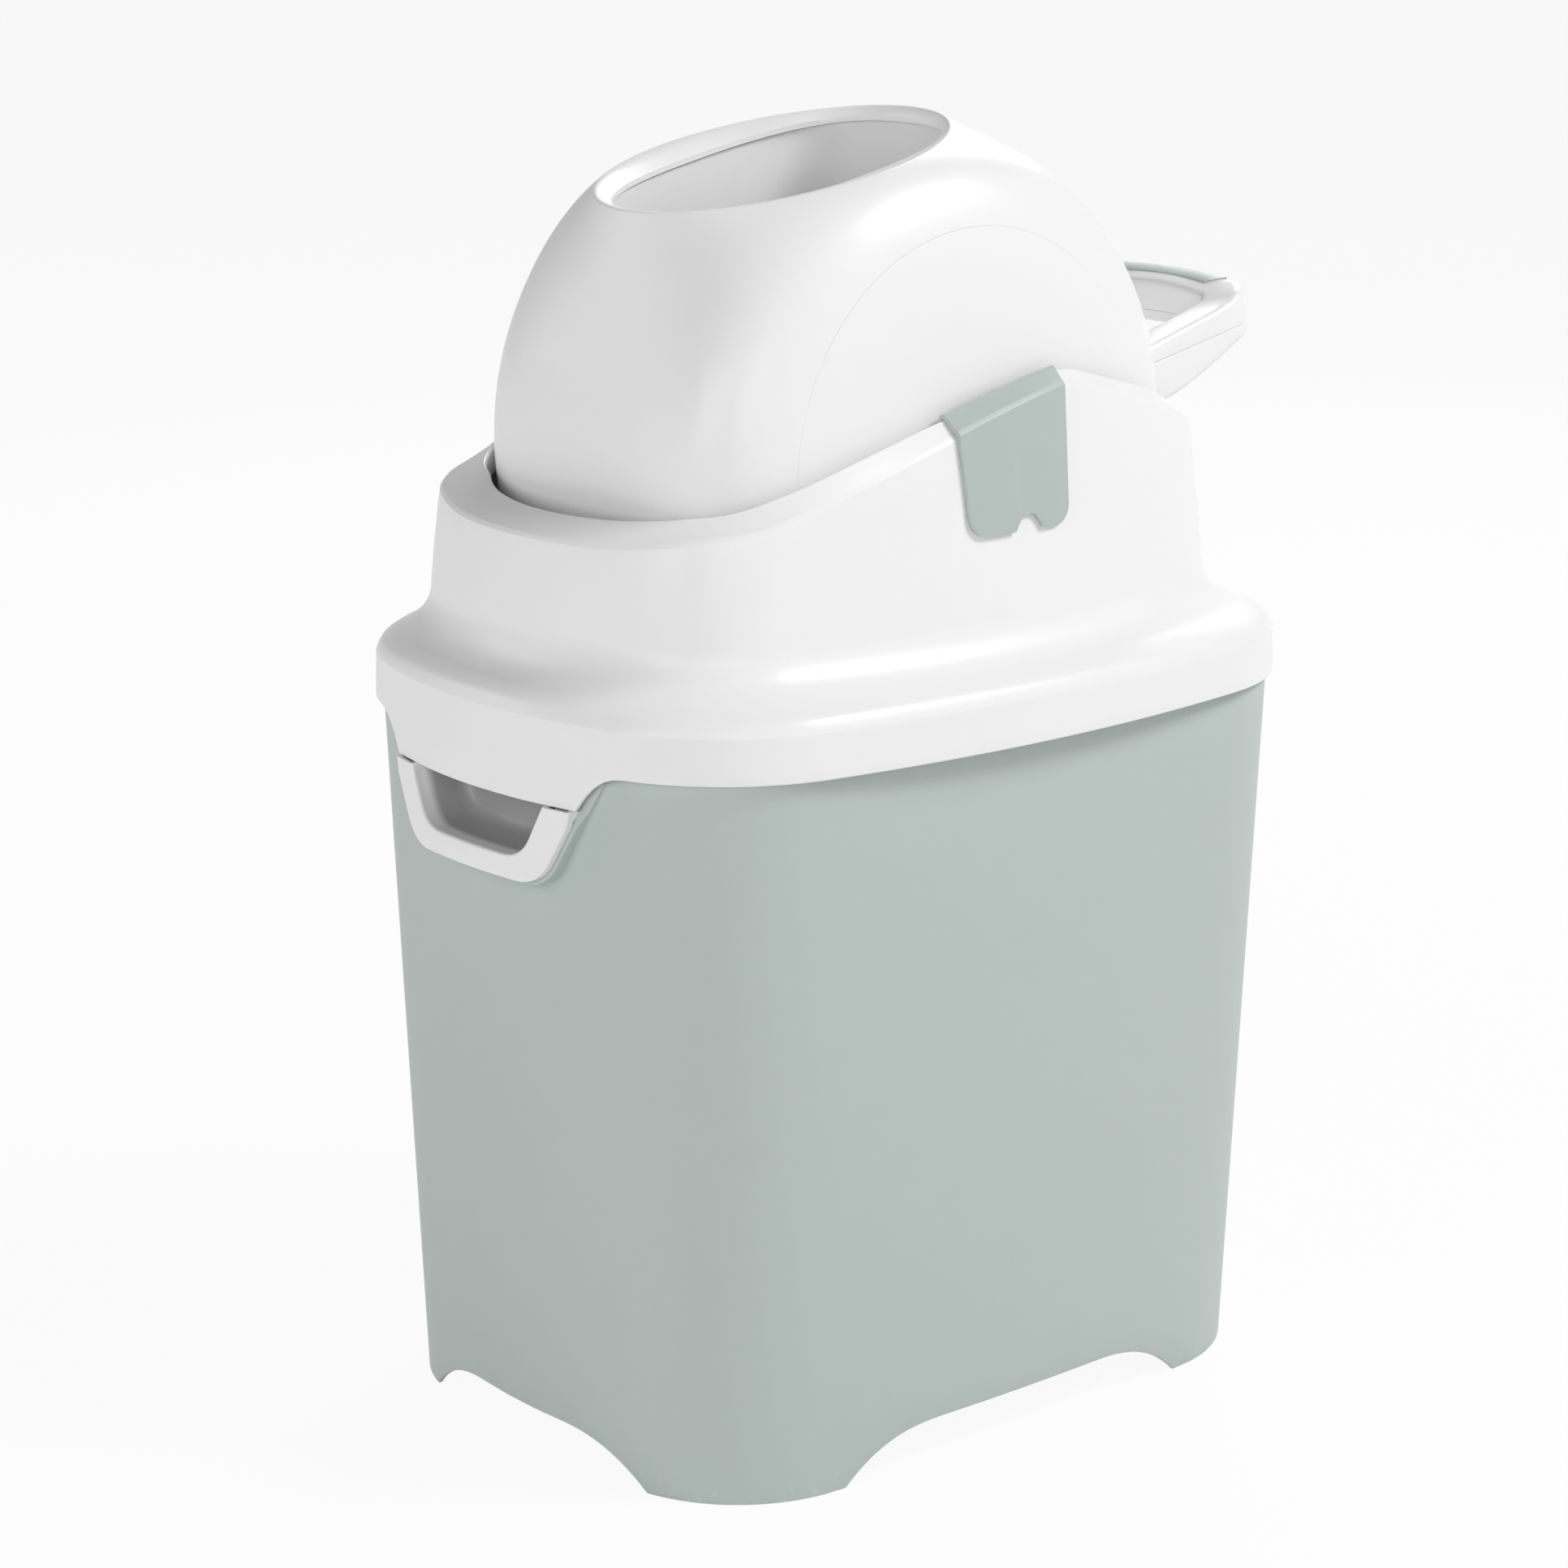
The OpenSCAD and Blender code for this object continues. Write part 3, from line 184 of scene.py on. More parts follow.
def around(side_y, front_x, back_x, corner):
    """Stations all the way round, anticlockwise from the middle of the +X side"""
    turn = [k / (corner + 1) for k in range(1, corner + 1)]
    out = [("side", 1, 1, y) for y in side_y if y >= 0] + [("corner", 1, 1, t) for t in turn]
    out += [("end", 1, 1, x) for x in reversed(back_x)] + [("corner", -1, 1, t) for t in reversed(turn)]
    out += [("side", -1, 1, y) for y in reversed(side_y)] + [("corner", -1, -1, t) for t in turn]
    out += [("end", 1, -1, x) for x in front_x] + [("corner", 1, -1, t) for t in reversed(turn)]
    return out + [("side", 1, -1, y) for y in side_y if y < 0]


def up(p, z):
    return vec(p[0], p[1], z)


def rounded(points, radii, steps=4, closed=False):
    """Rounds the corners of a polyline; every corner with a radius gives steps + 1 points"""
    points = [Vector(p) for p in points]
    out, n = [], len(points)
    for i, p in enumerate(points):
        if radii[i] == 0 or (not closed and i in (0, n - 1)):
            out.append(p)
            continue
        a, b = points[i - 1] - p, points[(i + 1) % n] - p
        la, lb = a.length, b.length
        if la < 1e-6 or lb < 1e-6:
            out += [p] * (steps + 1)
            continue
        a, b = a / la, b / lb
        half = a.angle(b) / 2
        cut = min(radii[i] / max(tan(half), 0.05), la * 0.49, lb * 0.49)
        for k in range(steps + 1):
            t = k / steps
            out.append(p + a * cut * (1 - t) ** 2 + b * cut * t**2)
    return out


def smooth_curve(knots, steps):
    """Catmull-Rom through the knots, steps points for each stretch, the last knot included"""
    out, n = [], len(knots)
    for i in range(n - 1):
        p = [Vector(knots[max(min(k, n - 1), 0)]) for k in (i - 1, i, i + 1, i + 2)]
        for k in range(steps):
            t = k / steps
            out.append(0.5 * (2 * p[1] + (p[2] - p[0]) * t + (2 * p[0] - 5 * p[1] + 4 * p[2] - p[3]) * t**2
                              + (3 * p[1] - p[0] - 3 * p[2] + p[3]) * t**3))
    return out + [Vector(knots[-1])]


# ---- making meshes
def new_object(name, data):
    obj = bpy.data.objects.new(name, data)
    bpy.context.scene.collection.objects.link(obj)
    return obj


def plain_mesh(name, verts, edges=(), faces=()):
    mesh = bpy.data.meshes.new(name)
    mesh.from_pydata(verts, edges, faces)
    return mesh


def finish_mesh(obj, angle=40):
    """Smooth shading with sharp edges past the angle"""
    obj.data.shade_smooth()
    obj.data.set_sharp_from_angle(angle=radians(angle))
    return obj


@contextmanager
def editing(mesh):
    """A bmesh of the mesh, which is written back at the end"""
    bm = bmesh.new()
    bm.from_mesh(mesh)
    yield bm
    bm.to_mesh(mesh)
    bm.free()


def loft(name, rings, closed=True, loop=True, poles=None, caps=False, angle=40):
    """A mesh with its faces outwards, between rings of points in millimetres.  loop joins each ring's ends, closed
    joins the last ring to the first, poles are two points that close the rings' own first and last points"""
    n, m = len(rings), len(rings[0])
    verts = [p for ring in rings for p in ring]
    faces = []
    for i in range(n if closed else n - 1):
        a, b = i * m, ((i + 1) % n) * m
        faces += [(a + j, b + j, b + (j + 1) % m, a + (j + 1) % m) for j in range(m if loop else m - 1)]
    if caps:
        faces += [tuple(reversed(range(m))), tuple(range((n - 1) * m, n * m))]
    if poles:
        first, last = len(verts), len(verts) + 1
        verts += list(poles)
        for i in range(n):
            a, b = i * m, ((i + 1) % n) * m
            faces += [(first, b, a), (last, a + m - 1, b + m - 1)]
    mesh = plain_mesh(name, [[MM * c for c in v] for v in verts], faces=faces)
    with editing(mesh) as bm:
        bmesh.ops.remove_doubles(bm, verts=bm.verts, dist=MERGE)
        bmesh.ops.dissolve_degenerate(bm, edges=bm.edges, dist=SLIVER)
        if bm.calc_volume(signed=True) < 0:
            bmesh.ops.reverse_faces(bm, faces=bm.faces)
    return finish_mesh(new_object(name, mesh), angle)


def prism(name, sections):
    """A solid from its first section to its last"""
    return loft(name, sections, closed=False, caps=True)


def apply_modifiers(obj):
    """Leaves the evaluated result as the object's own plain mesh"""
    done = bpy.data.meshes.new_from_object(obj.evaluated_get(bpy.context.evaluated_depsgraph_get()))
    obj.modifiers.clear()
    old, obj.data = obj.data, done
    bpy.data.meshes.remove(old)
    return obj


def bevel(obj, width, segments, angle):
    mod = obj.modifiers.new("edge", "BEVEL")
    mod.width, mod.segments, mod.limit_method, mod.angle_limit = width * MM, segments, "ANGLE", radians(angle)
    return finish_mesh(apply_modifiers(obj))


def cut(obj, tool):
    """Exact boolean with a tool that is thrown away afterwards"""
    mod = obj.modifiers.new("cut", "BOOLEAN")
    mod.operation, mod.solver, mod.object = "DIFFERENCE", "EXACT", tool
    apply_modifiers(obj)
    bpy.data.objects.remove(tool)
    return finish_mesh(obj)


def join(name, *parts):
    """One object from several closed solids"""
    mesh = bpy.data.meshes.new(name)
    with editing(mesh) as bm:
        for part in parts:
            bm.from_mesh(part.data)
    for part in parts:
        bpy.data.objects.remove(part)
    return finish_mesh(new_object(name, mesh))


DRUM_FRAME = Matrix.Translation((0, AXLE_Y * MM, AXLE_Z * MM)) @ Matrix.Rotation(LEAN, 4, "X")


# ---- bucket
skirt = Outline(SKIRT_W / 2, SKIRT_L / 2, SKIRT_R, SKIRT_BOW_X, SKIRT_BOW_Y)
neck = Outline(NECK_W / 2, NECK_L / 2, NECK_R, SKIRT_BOW_X, SKIRT_BOW_Y)
FACE_Y = -skirt.y1                    # axis of the upright cylinder that the front faces lie on
FRAME_RAD = skirt.ry + FRAME_OUT      # the frame stands proud of the tab above it
BOSS_RAD = FRAME_RAD - FRAME_STEP - FRAME_T - 0.3


def bucket_at(z):
    t = z / BUCKET_H
    return Outline(mix(BASE_W, MOUTH_W, t) / 2, mix(BASE_L, MOUTH_L, t) / 2, BUCKET_R,
                   BOW_SIDE * mix(0.93, 1.12, t), BOW_END * mix(0.96, 1.04, t))


def foot_z(station):
    """Height of the bucket's lower edge: an arch on every side, down to the floor at the corners"""
    kind, _, _, v = station
    if kind == "corner":
        return 0.0
    flat, reach, power = (ARCH_FLAT_SIDE, ARCH_SIDE, 2.8) if kind == "side" else (ARCH_FLAT_END, ARCH_END, 2.6)
    return ARCH_H * (1 - hold((abs(v) - flat) / (reach - flat)) ** power)


def bucket_wall():
    """Floor, wall and flared rim as one skin, from the floor's top to its underside"""
    stations = around(across(ARCH_SIDE, 60), across(ARCH_END, 48),
                      across(ARCH_END, 40), 20)
    flare = BUCKET_H - RIM_H
    top = FLOOR_Z + FLOOR_T
    rings = []
    for s in stations:
        def wall(z, d):
            p, n = bucket_at(z).at(s, ARCH_SIDE, ARCH_END)
            return up(p + n * d, z)

        def rim(d, z):
            p, n = skirt.at(s, ARCH_SIDE, ARCH_END)
            return up(p - n * (RIM_INSET + d), z)

        foot = foot_z(s)
        corner = wall(top, -WALL)
        path = [*[up(corner * share, top) for share in (0.35, 0.7, 0.93)], corner,
                *[wall(z, -WALL) for z in (*ROWS_IN, flare - 1.5)], rim(WALL, flare + 2.5), rim(WALL, BUCKET_H),
                rim(0, BUCKET_H), rim(0, flare + 1), wall(flare - 3, 0), *[wall(z, 0) for z in ROWS_OUT],
                wall(foot, 0), wall(foot, -WALL), wall(FLOOR_Z, -WALL)]
        radii = [0, 0, 0, 12, *[0] * len(ROWS_IN), 3, 2, 0.9, 0.9, 1, 3, *[0] * len(ROWS_OUT), 1.0, 1.0, 1.5]
        path = rounded(path, radii)
        path += [up(path[-1] * share, FLOOR_Z) for share in (0.93, 0.6, 0.3)]
        rings.append(path)
    return loft("bucket_wall", rings, loop=False, poles=[(0, 0, top), (0, 0, FLOOR_Z)])


def ring_path(low, high, z_low, z_high, r_low, r_high):
    """Closed trapezoid in x and z with rounded corners, anticlockwise from the middle of its lower edge,
    half widths low and high at its two heights"""
    corners = [(low, z_low), (high, z_high), (-high, z_high), (-low, z_low)]
    pts = rounded(corners, [r_low, r_high, r_high, r_low], PATH_STEPS, closed=True)
    arc = PATH_STEPS + 1
    out = []
    for k in range(0, len(pts), arc):
        here, after = pts[k:k + arc], pts[(k + arc) % len(pts)]
        out += here + [here[-1].lerp(after, t / PATH_STEPS) for t in range(1, PATH_STEPS)]
    return out


def grown(path, d):
    """Moves a closed path outwards by d"""
    out = []
    for i, p in enumerate(path):
        t = path[(i + 1) % len(path)] - path[i - 1]
        t.normalize()
        out.append(p + vec(t.y, -t.x) * d)
    return out


def front_y(x, radius):
    return FACE_Y - sqrt(radius * radius - x * x)


def wall_y(x, z):
    """The bucket's outer wall on the front, at a given x"""
    o = bucket_at(z)
    return -o.at_turn(o.turn_x(abs(x)))[1]


def boss_rad(z):
    """The pad stands back behind the tab and comes forward below it"""
    return BOSS_RAD + FRAME_STEP * (1 - soft((z - BOSS_STEP_Z) / 4))


GRIP_SLOPE = (GRIP_HIGH - GRIP_LOW) / (GRIP_TOP - GRIP_Z)
POCKET_SLOPE = (POCKET_HIGH - POCKET_LOW) / (GRIP_TOP - POCKET_Z)


def boss_path(d):
    low = GRIP_LOW + BOSS_EDGE - GRIP_SLOPE * BOSS_EDGE
    return grown(ring_path(low, low + GRIP_SLOPE * (BOSS_TOP - GRIP_Z + BOSS_EDGE), GRIP_Z - BOSS_EDGE, BOSS_TOP,
                           GRIP_R + BOSS_EDGE, 2), d)


def front_boss():
    """Raised pad behind the grip frame, blended into the wall all round"""
    def on(x, z, y):
        return vec(x, y, z)

    def face(x, z):
        return on(x, z, front_y(x, boss_rad(z)))

    back_y = wall_y(0, BOSS_MID) + 2.2
    rings = []
    for far, near, p in zip(boss_path(7.0), boss_path(4.2), boss_path(0.0)):
        line = [on(*far, wall_y(*far) + 0.5), on(*near, wall_y(*near) + 0.05), on(*p, wall_y(*p) - 0.4), face(*p),
                face(p.x * 0.8, mix(p.y, BOSS_MID, 0.2))]
        line = rounded(line, [0, 3, 4.5, 1.2, 0], 5)
        back = [on(far.x * k, mix(far.y, BOSS_MID, 1 - k), wall_y(far.x * k, BOSS_MID) + 2.2) for k in (0.3, 1)]
        rings.append(back + line + [face(p.x * 0.3, mix(p.y, BOSS_MID, 0.7))])
    return loft("front_boss", rings, loop=False, poles=[on(0, BOSS_MID, back_y), face(0, BOSS_MID)])


def pocket_tool():
    """Cutter of the opening that the grip's pocket goes through"""
    high = POCKET_LOW + POCKET_SLOPE * (POCKET_TOP - POCKET_Z)
    path = grown(ring_path(POCKET_LOW, high, POCKET_Z, POCKET_TOP, POCKET_R, 4), 2.6)
    ends, middle = (-230, -160), 315
    return loft("pocket_tool", [[(p.x, y, p.y) for y in ends] for p in path], loop=False,
                poles=[(0, y, middle) for y in ends])


def bucket():
    wall = cut(bucket_wall(), pocket_tool())
    boss = cut(front_boss(), pocket_tool())
    return join("bucket_moulding", wall, boss)


# ---- grip frame and pocket
def u_path(low, high, z_low, z_high, radius):
    """Open U in x and z from its left top end, round the bottom, to its right top end"""
    corners = [(-high, z_high), (-low, z_low), (low, z_low), (high, z_high)]
    line = rounded(corners, [0, radius, radius, 0], PATH_STEPS)
    out = []
    for a, b in zip(line, line[1:]):
        steps = PATH_STEPS if (b - a).length > 5 else 1
        out += [a.lerp(b, k / steps) for k in range(steps)]
    return out + [line[-1]]


def grip():
    outer = u_path(GRIP_LOW, GRIP_HIGH, GRIP_Z, GRIP_TOP, GRIP_R)
    inner = u_path(POCKET_LOW, POCKET_HIGH, POCKET_Z, GRIP_TOP, POCKET_R)
    back = -SKIRT_L / 2 + POCKET_DEEP

    def on(p, depth, rise=0.0, shrink=1.0):
        """depth is a radius of the front cylinder, or a y if it is negative"""
        z = POCKET_Z + (p.y - POCKET_Z) * mix(1, (POCKET_UP - POCKET_Z) / (GRIP_TOP - POCKET_Z), rise)
        x, z = p.x * shrink, mix(GRIP_TOP, z, shrink) if z < GRIP_TOP else z
        return vec(x, depth if depth < 0 else front_y(x, depth), z)

    rings = []
    for i, (o, q) in enumerate(zip(outer, inner)):
        ends = min(i, len(outer) - 1 - i)
        if ends < 3:                                # the frame's two upper outer corners are rounded
            o = o - vec(copysign(0.9 * (3.0 - ends), o.x), 0)
        line = [on(o, boss_rad(o.y) + 0.3), on(o, FRAME_RAD), on(q, FRAME_RAD), on(q, BOSS_RAD, 0.1),
                on(q, BOSS_RAD - 4, 1), on(q, back, 1, 0.93), on(q, back, 1, 0.4)]
        rings.append(rounded(line, [0, 1.1, 2.0, 0, 0, 9, 0], 5))
    face = loft("grip_face", rings, closed=False, loop=False, angle=50)
    with editing(face.data) as bm:
        edge = [e for e in bm.edges if e.is_boundary and all(abs(v.co.y - back * MM) < 1e-4 for v in e.verts)]
        bmesh.ops.contextual_create(bm, geom=edge)
    thick = face.modifiers.new("wall", "SOLIDIFY")
    thick.thickness, thick.offset = POCKET_WALL * MM, -1
    finish_mesh(apply_modifiers(face), 50)
    low, high = POCKET_ROOF
    sections = []
    for x in across(52, 12):
        y = front_y(x, BOSS_RAD) + 0.4
        sections.append([(x, y, low), (x, back + 1.5, low), (x, back + 1.5, high), (x, y, high)])
    return join("grip_moulding", face, prism("grip_roof", sections))


# ---- lid
def drum_reach(x):
    """How far the turning drum, with the rims of its mouths, reaches from the axle"""
    if abs(x) >= RIM_A:
        return crown(x)
    return max(crown(x), hypot(MOUTH_UP, RIM_B * sqrt(1 - (x / RIM_A) ** 2) - RIM_MID))


def rim_z(y):
    """Height of the wavy rim: low in front, a long crest behind the clips, falling to the back"""
    front = -NECK_L / 2 - NECK_FWD + 8
    back = NECK_L / 2 - NECK_FWD - 6
    if y < PEAK_Y:
        low, t = RIM_FRONT, hold((y - front) / (PEAK_Y - front))
    else:
        low, t = RIM_BACK, hold((back - y) / (back - PEAK_END))
    return low + (RIM_PEAK - low) * mix(t, soft(t), 0.4) + SWELL * soft(1 - abs(y - SWELL_Y) / SWELL_RUN)


def table_at(table, y):
    """Straight steps through a short list of (place, value)"""
    for a, b in zip(table, table[1:]):
        if y <= b[0]:
            return mix(a[1], b[1], hold((y - a[0]) / (b[0] - a[0])))
    return table[-1][1]


LIP_LINE = smooth_curve([(y, z, 0) for y, z in LIP_KNOTS], 6)
FLANGE_LINE = smooth_curve([(share, rise, 0) for share, rise in FLANGE], 4)


def lip_z(y):
    """Height of the rim's inner edge, to which its top slopes up"""
    return table_at(LIP_LINE, y)


def neck_in(z):
    return NECK_DRAFT * (z - NECK_Z)


def skirt_end(p):
    """Lower edge of the skirt, drawn down to a tab over the front grip"""
    if p.y > 0:
        return SKIRT_Z
    t = hold((abs(p.x) - TAB_W) / (TAB_RUN - TAB_W))
    return mix(TAB_Z, SKIRT_Z, 1 - (1 - t) ** 2.2)


def lip_at(station, p, end_x):
    """Edge of the drum's opening and its normal: it keeps close to all that the drum sweeps"""
    kind, sx, sy, _ = station

    def side_x(y):
        return crown(max(abs(y) - LIP_FRONT, 0), DRUM_R, LIP_A)

    if kind == "side":
        y = p.y - AXLE_Y
        x = copysign(side_x(y), p.x)
    else:
        way = vec(p.x, p.y - AXLE_Y).normalized()
        if kind == "corner":
            edge = sy * LID_SIDE - AXLE_Y
            last = neck.at(("end", sx, sy, sx * end_x), LID_SIDE, end_x, -NECK_FWD)[0]
            way = vec(sx * side_x(edge), edge).normalized()
            way = way.lerp(vec(last.x, last.y - AXLE_Y).normalized(), station[3]).normalized()
        low, high = 100.0, 190.0
        for _ in range(30):
            far = (low + high) / 2
            room = drum_reach(way.x * far * DRUM_W / 2 / LIP_A) + LIP_FRONT
            free = abs(way.x) * far < LIP_A and abs(way.y) * far < room
            low, high = (far, high) if free else (low, far)
        x, y = way * far
    n = [copysign((abs(c) / size) ** 3 / size, c) for c, size in ((x, LIP_A), (y, 160))]
    return vec(x, AXLE_Y + y), Vector(n).normalized()


def lid_profile(s):
    end_x = TAB_RUN if s[2] < 0 else BACK_RUN
    f, fn = skirt.at(s, LID_SIDE, end_x)
    p, n = neck.at(s, LID_SIDE, end_x, -NECK_FWD)
    lip, ln = lip_at(s, p, end_x)
    low, zr, zl, t = skirt_end(f), rim_z(p.y), lip_z(lip.y), LID_T
    crease = f - fn * 0.6

    def flange_at(inset, drop):
        a, b = crease - fn * inset, p - n * inset
        return [up(a.lerp(b, hold(k.x)), CREASE_Z + k.y - drop * (1 - 0.7 * hold(k.x))) for k in FLANGE_LINE]

    def wall(share, inset, top):
        z = mix(NECK_Z, zr, share)
        return up(p - n * (neck_in(z) + inset), mix(NECK_Z, top, share))

    wall_top = p - n * neck_in(zr)
    over, under = flange_at(0, 0), flange_at(t, 2.3)[::-1]
    path = [(up(f, low), 0.9), *[(up(f.lerp(crease, k), mix(low, CREASE_Z, k)), 0) for k in (0.3, 0.6, 0.85)],
            (over[0], 1.6), *[(q, 0) for q in over[1:]], *[(wall(k, 0, zr), 0) for k in (0.25, 0.5, 0.75)],
            (up(wall_top, zr - 1.8), 0.7), (up(wall_top - n * 1.6, zr), 0.7), (up(lip + ln * 1.4, zl), 1),
            (up(lip, zl - 1.6), 0.7), (up(lip, zl - LIP_DROP), 0.7), (up(lip + ln * 2.4, zl - LIP_DROP), 0.7),
            (up(lip + ln * 2.4, zl - 4), 2), (up(wall_top - n * (t + 1), zr - t), 1),
            (up(wall_top - n * t, zr - t - 2), 1), *[(wall(k, t, zr - 3), 0) for k in (0.66, 0.33)],
            *[(q, 0) for q in under[:-1]], (under[-1], 1.2), (up(crease - fn * t, CREASE_Z - 3.5), 0),
            (up(f - fn * t, low), 0.9)]
    return rounded([q for q, _ in path], [r for _, r in path], 4, closed=True)


def lid():
    tab = [64.5, 65.6, 66.2, 66.8, 67.6, 68.8, 70.5, 72.5, 75, 78, 81.5, 86, TAB_RUN]
    front = [-x for x in reversed(tab)] + across(62, 26) + tab
    stations = around(across(LID_SIDE, 56), front, across(BACK_RUN, 30), 24)
    shell = loft("lid_moulding", [lid_profile(s) for s in stations])
    half = AXLE_R + SLOT_FIT
    low, top, back, front = AXLE_Z - half, SLOT_TOP, AXLE_Y + half, AXLE_Y - half
    for side in (1, -1):
        slot = [[(side * x, y, z) for y, z in ((front, low), (back, low), (back, top), (front, top))]
                for x in (SLOT_IN, SLOT_OUT)]
        cut(shell, prism("slot_tool", slot))
    return shell


# ---- clips
def clip_section(u):
    """Outline of the hook at u, from -1 at its front end to 1 at its back end"""
    corner = hold((abs(u) - 1 + CLIP_CORNER) / CLIP_CORNER)
    notch = (1 - hold(abs(u * CLIP_HALF - NOTCH_Y) / NOTCH_W) ** 2.8) ** 1.35
    z0 = CLIP_Z + CLIP_R * (1 - sqrt(max(1 - corner * corner, 0))) + NOTCH_H * notch
    middle = AXLE_Y + CLIP_BACK
    y0, y1 = middle + u * (CLIP_HALF - 2.5), middle + u * CLIP_HALF
    zr, zl, t = rim_z(y1), lip_z(y1), CLIP_T + 0.25

    def face(y, z):
        return neck.at(("side", 1, 1, y), LID_SIDE, BACK_RUN, -NECK_FWD)[0].x - neck_in(z)

    low, top, xi = face(y0, z0), face(y1, zr), LIP_A + 0.4
    path = [(low + 0.25, y0, z0, 0), (low + t, y0, z0, 0), (top + t, y1, zr + t - 1.8, 0.8),
            (top + t - 1.8, y1, zr + t, 0.8), (xi + 1.5, y1, zl + t + 0.6, 2.5), (xi - 1.6, y1, zl + t - 0.8, 0.8),
            (xi - 1.6, y1, zl + 0.5, 0.4), (xi + 1.2, y1, zl + 0.5, 1), (top - 1.2, y1, zr + 0.5, 0.3),
            (top + 0.25, y1, zr - 1.2, 0.3)]
    return rounded([q[:3] for q in path], [q[3] for q in path], 4, closed=True)


def clip(side, word):
    """One clip, mirrored for the other side, with the tongue that holds the axle down"""
    turn = [1 - CLIP_CORNER * (1 - sin(k / 12 * pi / 2)) for k in range(13)]
    us = [-u for u in reversed(turn)] + across(0.68, 44) + turn
    hook = prism("clip_hook", [clip_section(u) for u in us])
    bevel(hook, 0.45, 3, 50)
    half, z0 = AXLE_R - 0.34, AXLE_Z + AXLE_R + 0.3
    x0, x1 = LIP_A + 1.2, NECK_W / 2 - neck_in(RIM_PEAK) - 0.6
    ring = [(x0, z0), (x1, z0), (x1, rim_z(AXLE_Y) + 1.2), (x0, lip_z(AXLE_Y) + 1)]
    sections = [[(x, y, z) for x, z in ring] for y in span(AXLE_Y - half, AXLE_Y + half, 2)]
    tongue = prism("clip_tongue", sections)
    obj = join("clip_moulding_" + word, hook, tongue)
    if side < 0:
        obj.data.transform(Matrix.Scale(-1, 4, (1, 0, 0)))
        obj.data.flip_normals()
    return obj


# ---- drum
def oval(a, b, p, t):
    c, s = cos(t), sin(t)
    return vec(a * copysign(abs(c) ** (2 / p), c), b * copysign(abs(s) ** (2 / p), s))


def turns(n):
    """n even angles all the way round"""
    return [2 * pi * k / n for k in range(n)]


def meet(u, half, radius):
    """Where the crowned drum's surface is met along the direction u"""
    k = (abs(u.x) / half) ** DRUM_P + (hypot(u.y, u.z) / radius) ** DRUM_P
    return u * k ** (-1 / DRUM_P)


def drum_half_column(t, inner):
    """From the throat of the upper mouth, over its rim and down to the drum's middle"""
    a, b = oval(RIM_A, RIM_B, RIM_P, t), oval(THROAT_A, THROAT_B, THROAT_P, t)
    rim = vec(a.x, a.y + RIM_MID, MOUTH_UP)
    throat = vec(b.x, b.y + THROAT_MID, MOUTH_UP - THROAT_DOWN)
    off = SKIN if inner else 0.0
    u = rim.normalized()
    edge = acos(u.z)
    flat = vec(u.x, u.y).normalized()
    lift = rim.length - meet(u, DRUM_W / 2, DRUM_R).length
    skin = []
    for k in range(1, DRUM_ROWS + 1):
        ang = mix(edge, pi / 2, (k / DRUM_ROWS) ** 1.15)
        d = up(flat * sin(ang), cos(ang))
        f = 1 - hold((ang - edge) / COLLAR)
        skin.append(meet(d, DRUM_W / 2 - off, DRUM_R - off) + d * lift * (f**3 * 0.75 + f * f * 0.25))
    down = vec(0, 0, -off)
    if inner:
        return [throat + down, throat.lerp(rim, 0.8) + down * 1.1, skin[0] * 0.999] + skin
    head = [throat, throat.lerp(rim, 0.35) + vec(0, 0, 0.5), throat.lerp(rim, 0.7) + vec(0, 0, 0.9), rim,
            skin[0]]
    return rounded(head, [0, 0, 0, 1.7, 0], 5) + skin[1:]


def drum():
    rings = []
    for t in turns(DRUM_COLUMNS):
        outer, inner = drum_half_column(t, False), drum_half_column(t, True)
        flip = [up(p, -p.z) for p in reversed(outer[:-1])]
        back = [up(p, -p.z) for p in inner[:-1]]
        rings.append(outer + flip + back + inner[::-1])
    skin = loft("drum_moulding", rings, angle=45)
    for side in (1, -1):
        cut(skin, disc("seam_tool", CAP_R, side * CAP_IN, side * CAP_OUT, CAP_SIDES))
    return skin


def disc(name, radius, x0, x1, n):
    """A plain round cutter along the axle"""
    rings = [[(x, radius * cos(t), radius * sin(t)) for x in (x0, x1)] for t in turns(n)]
    return loft(name, rings, loop=False, poles=[(x0, 0, 0), (x1, 0, 0)])


def drum_cap(side, word):
    """Flush end cap with its inner skin and the axle stub"""
    r_out, half = CAP_R - CAP_SEAM, DRUM_W / 2
    radii = [r_out * sin(pi / 2 * k / 14) for k in range(1, 15)]
    stub = NECK_W / 2 - neck_in(AXLE_Z + AXLE_R) - 0.3

    def skin(r, depth=0.0):
        return r, crown(r, DRUM_R - depth, half - depth)

    line = [(AXLE_R - 0.8, stub), (AXLE_R, stub - 0.8), (AXLE_R, half + 1.2), skin(AXLE_R + 1.2),
            *[skin(r) for r in radii if r > AXLE_R + 4], (r_out, skin(r_out)[1] - SKIN),
            *[skin(r, SKIN) for r in reversed(radii[2:-1])]]
    rings = [[(side * x, r * cos(t), r * sin(t)) for r, x in line] for t in turns(CAP_SIDES)]
    ends = [(side * stub, 0, 0), (side * (half - SKIN), 0, 0)]
    return loft("end_cap_" + word, rings, loop=False, poles=ends)


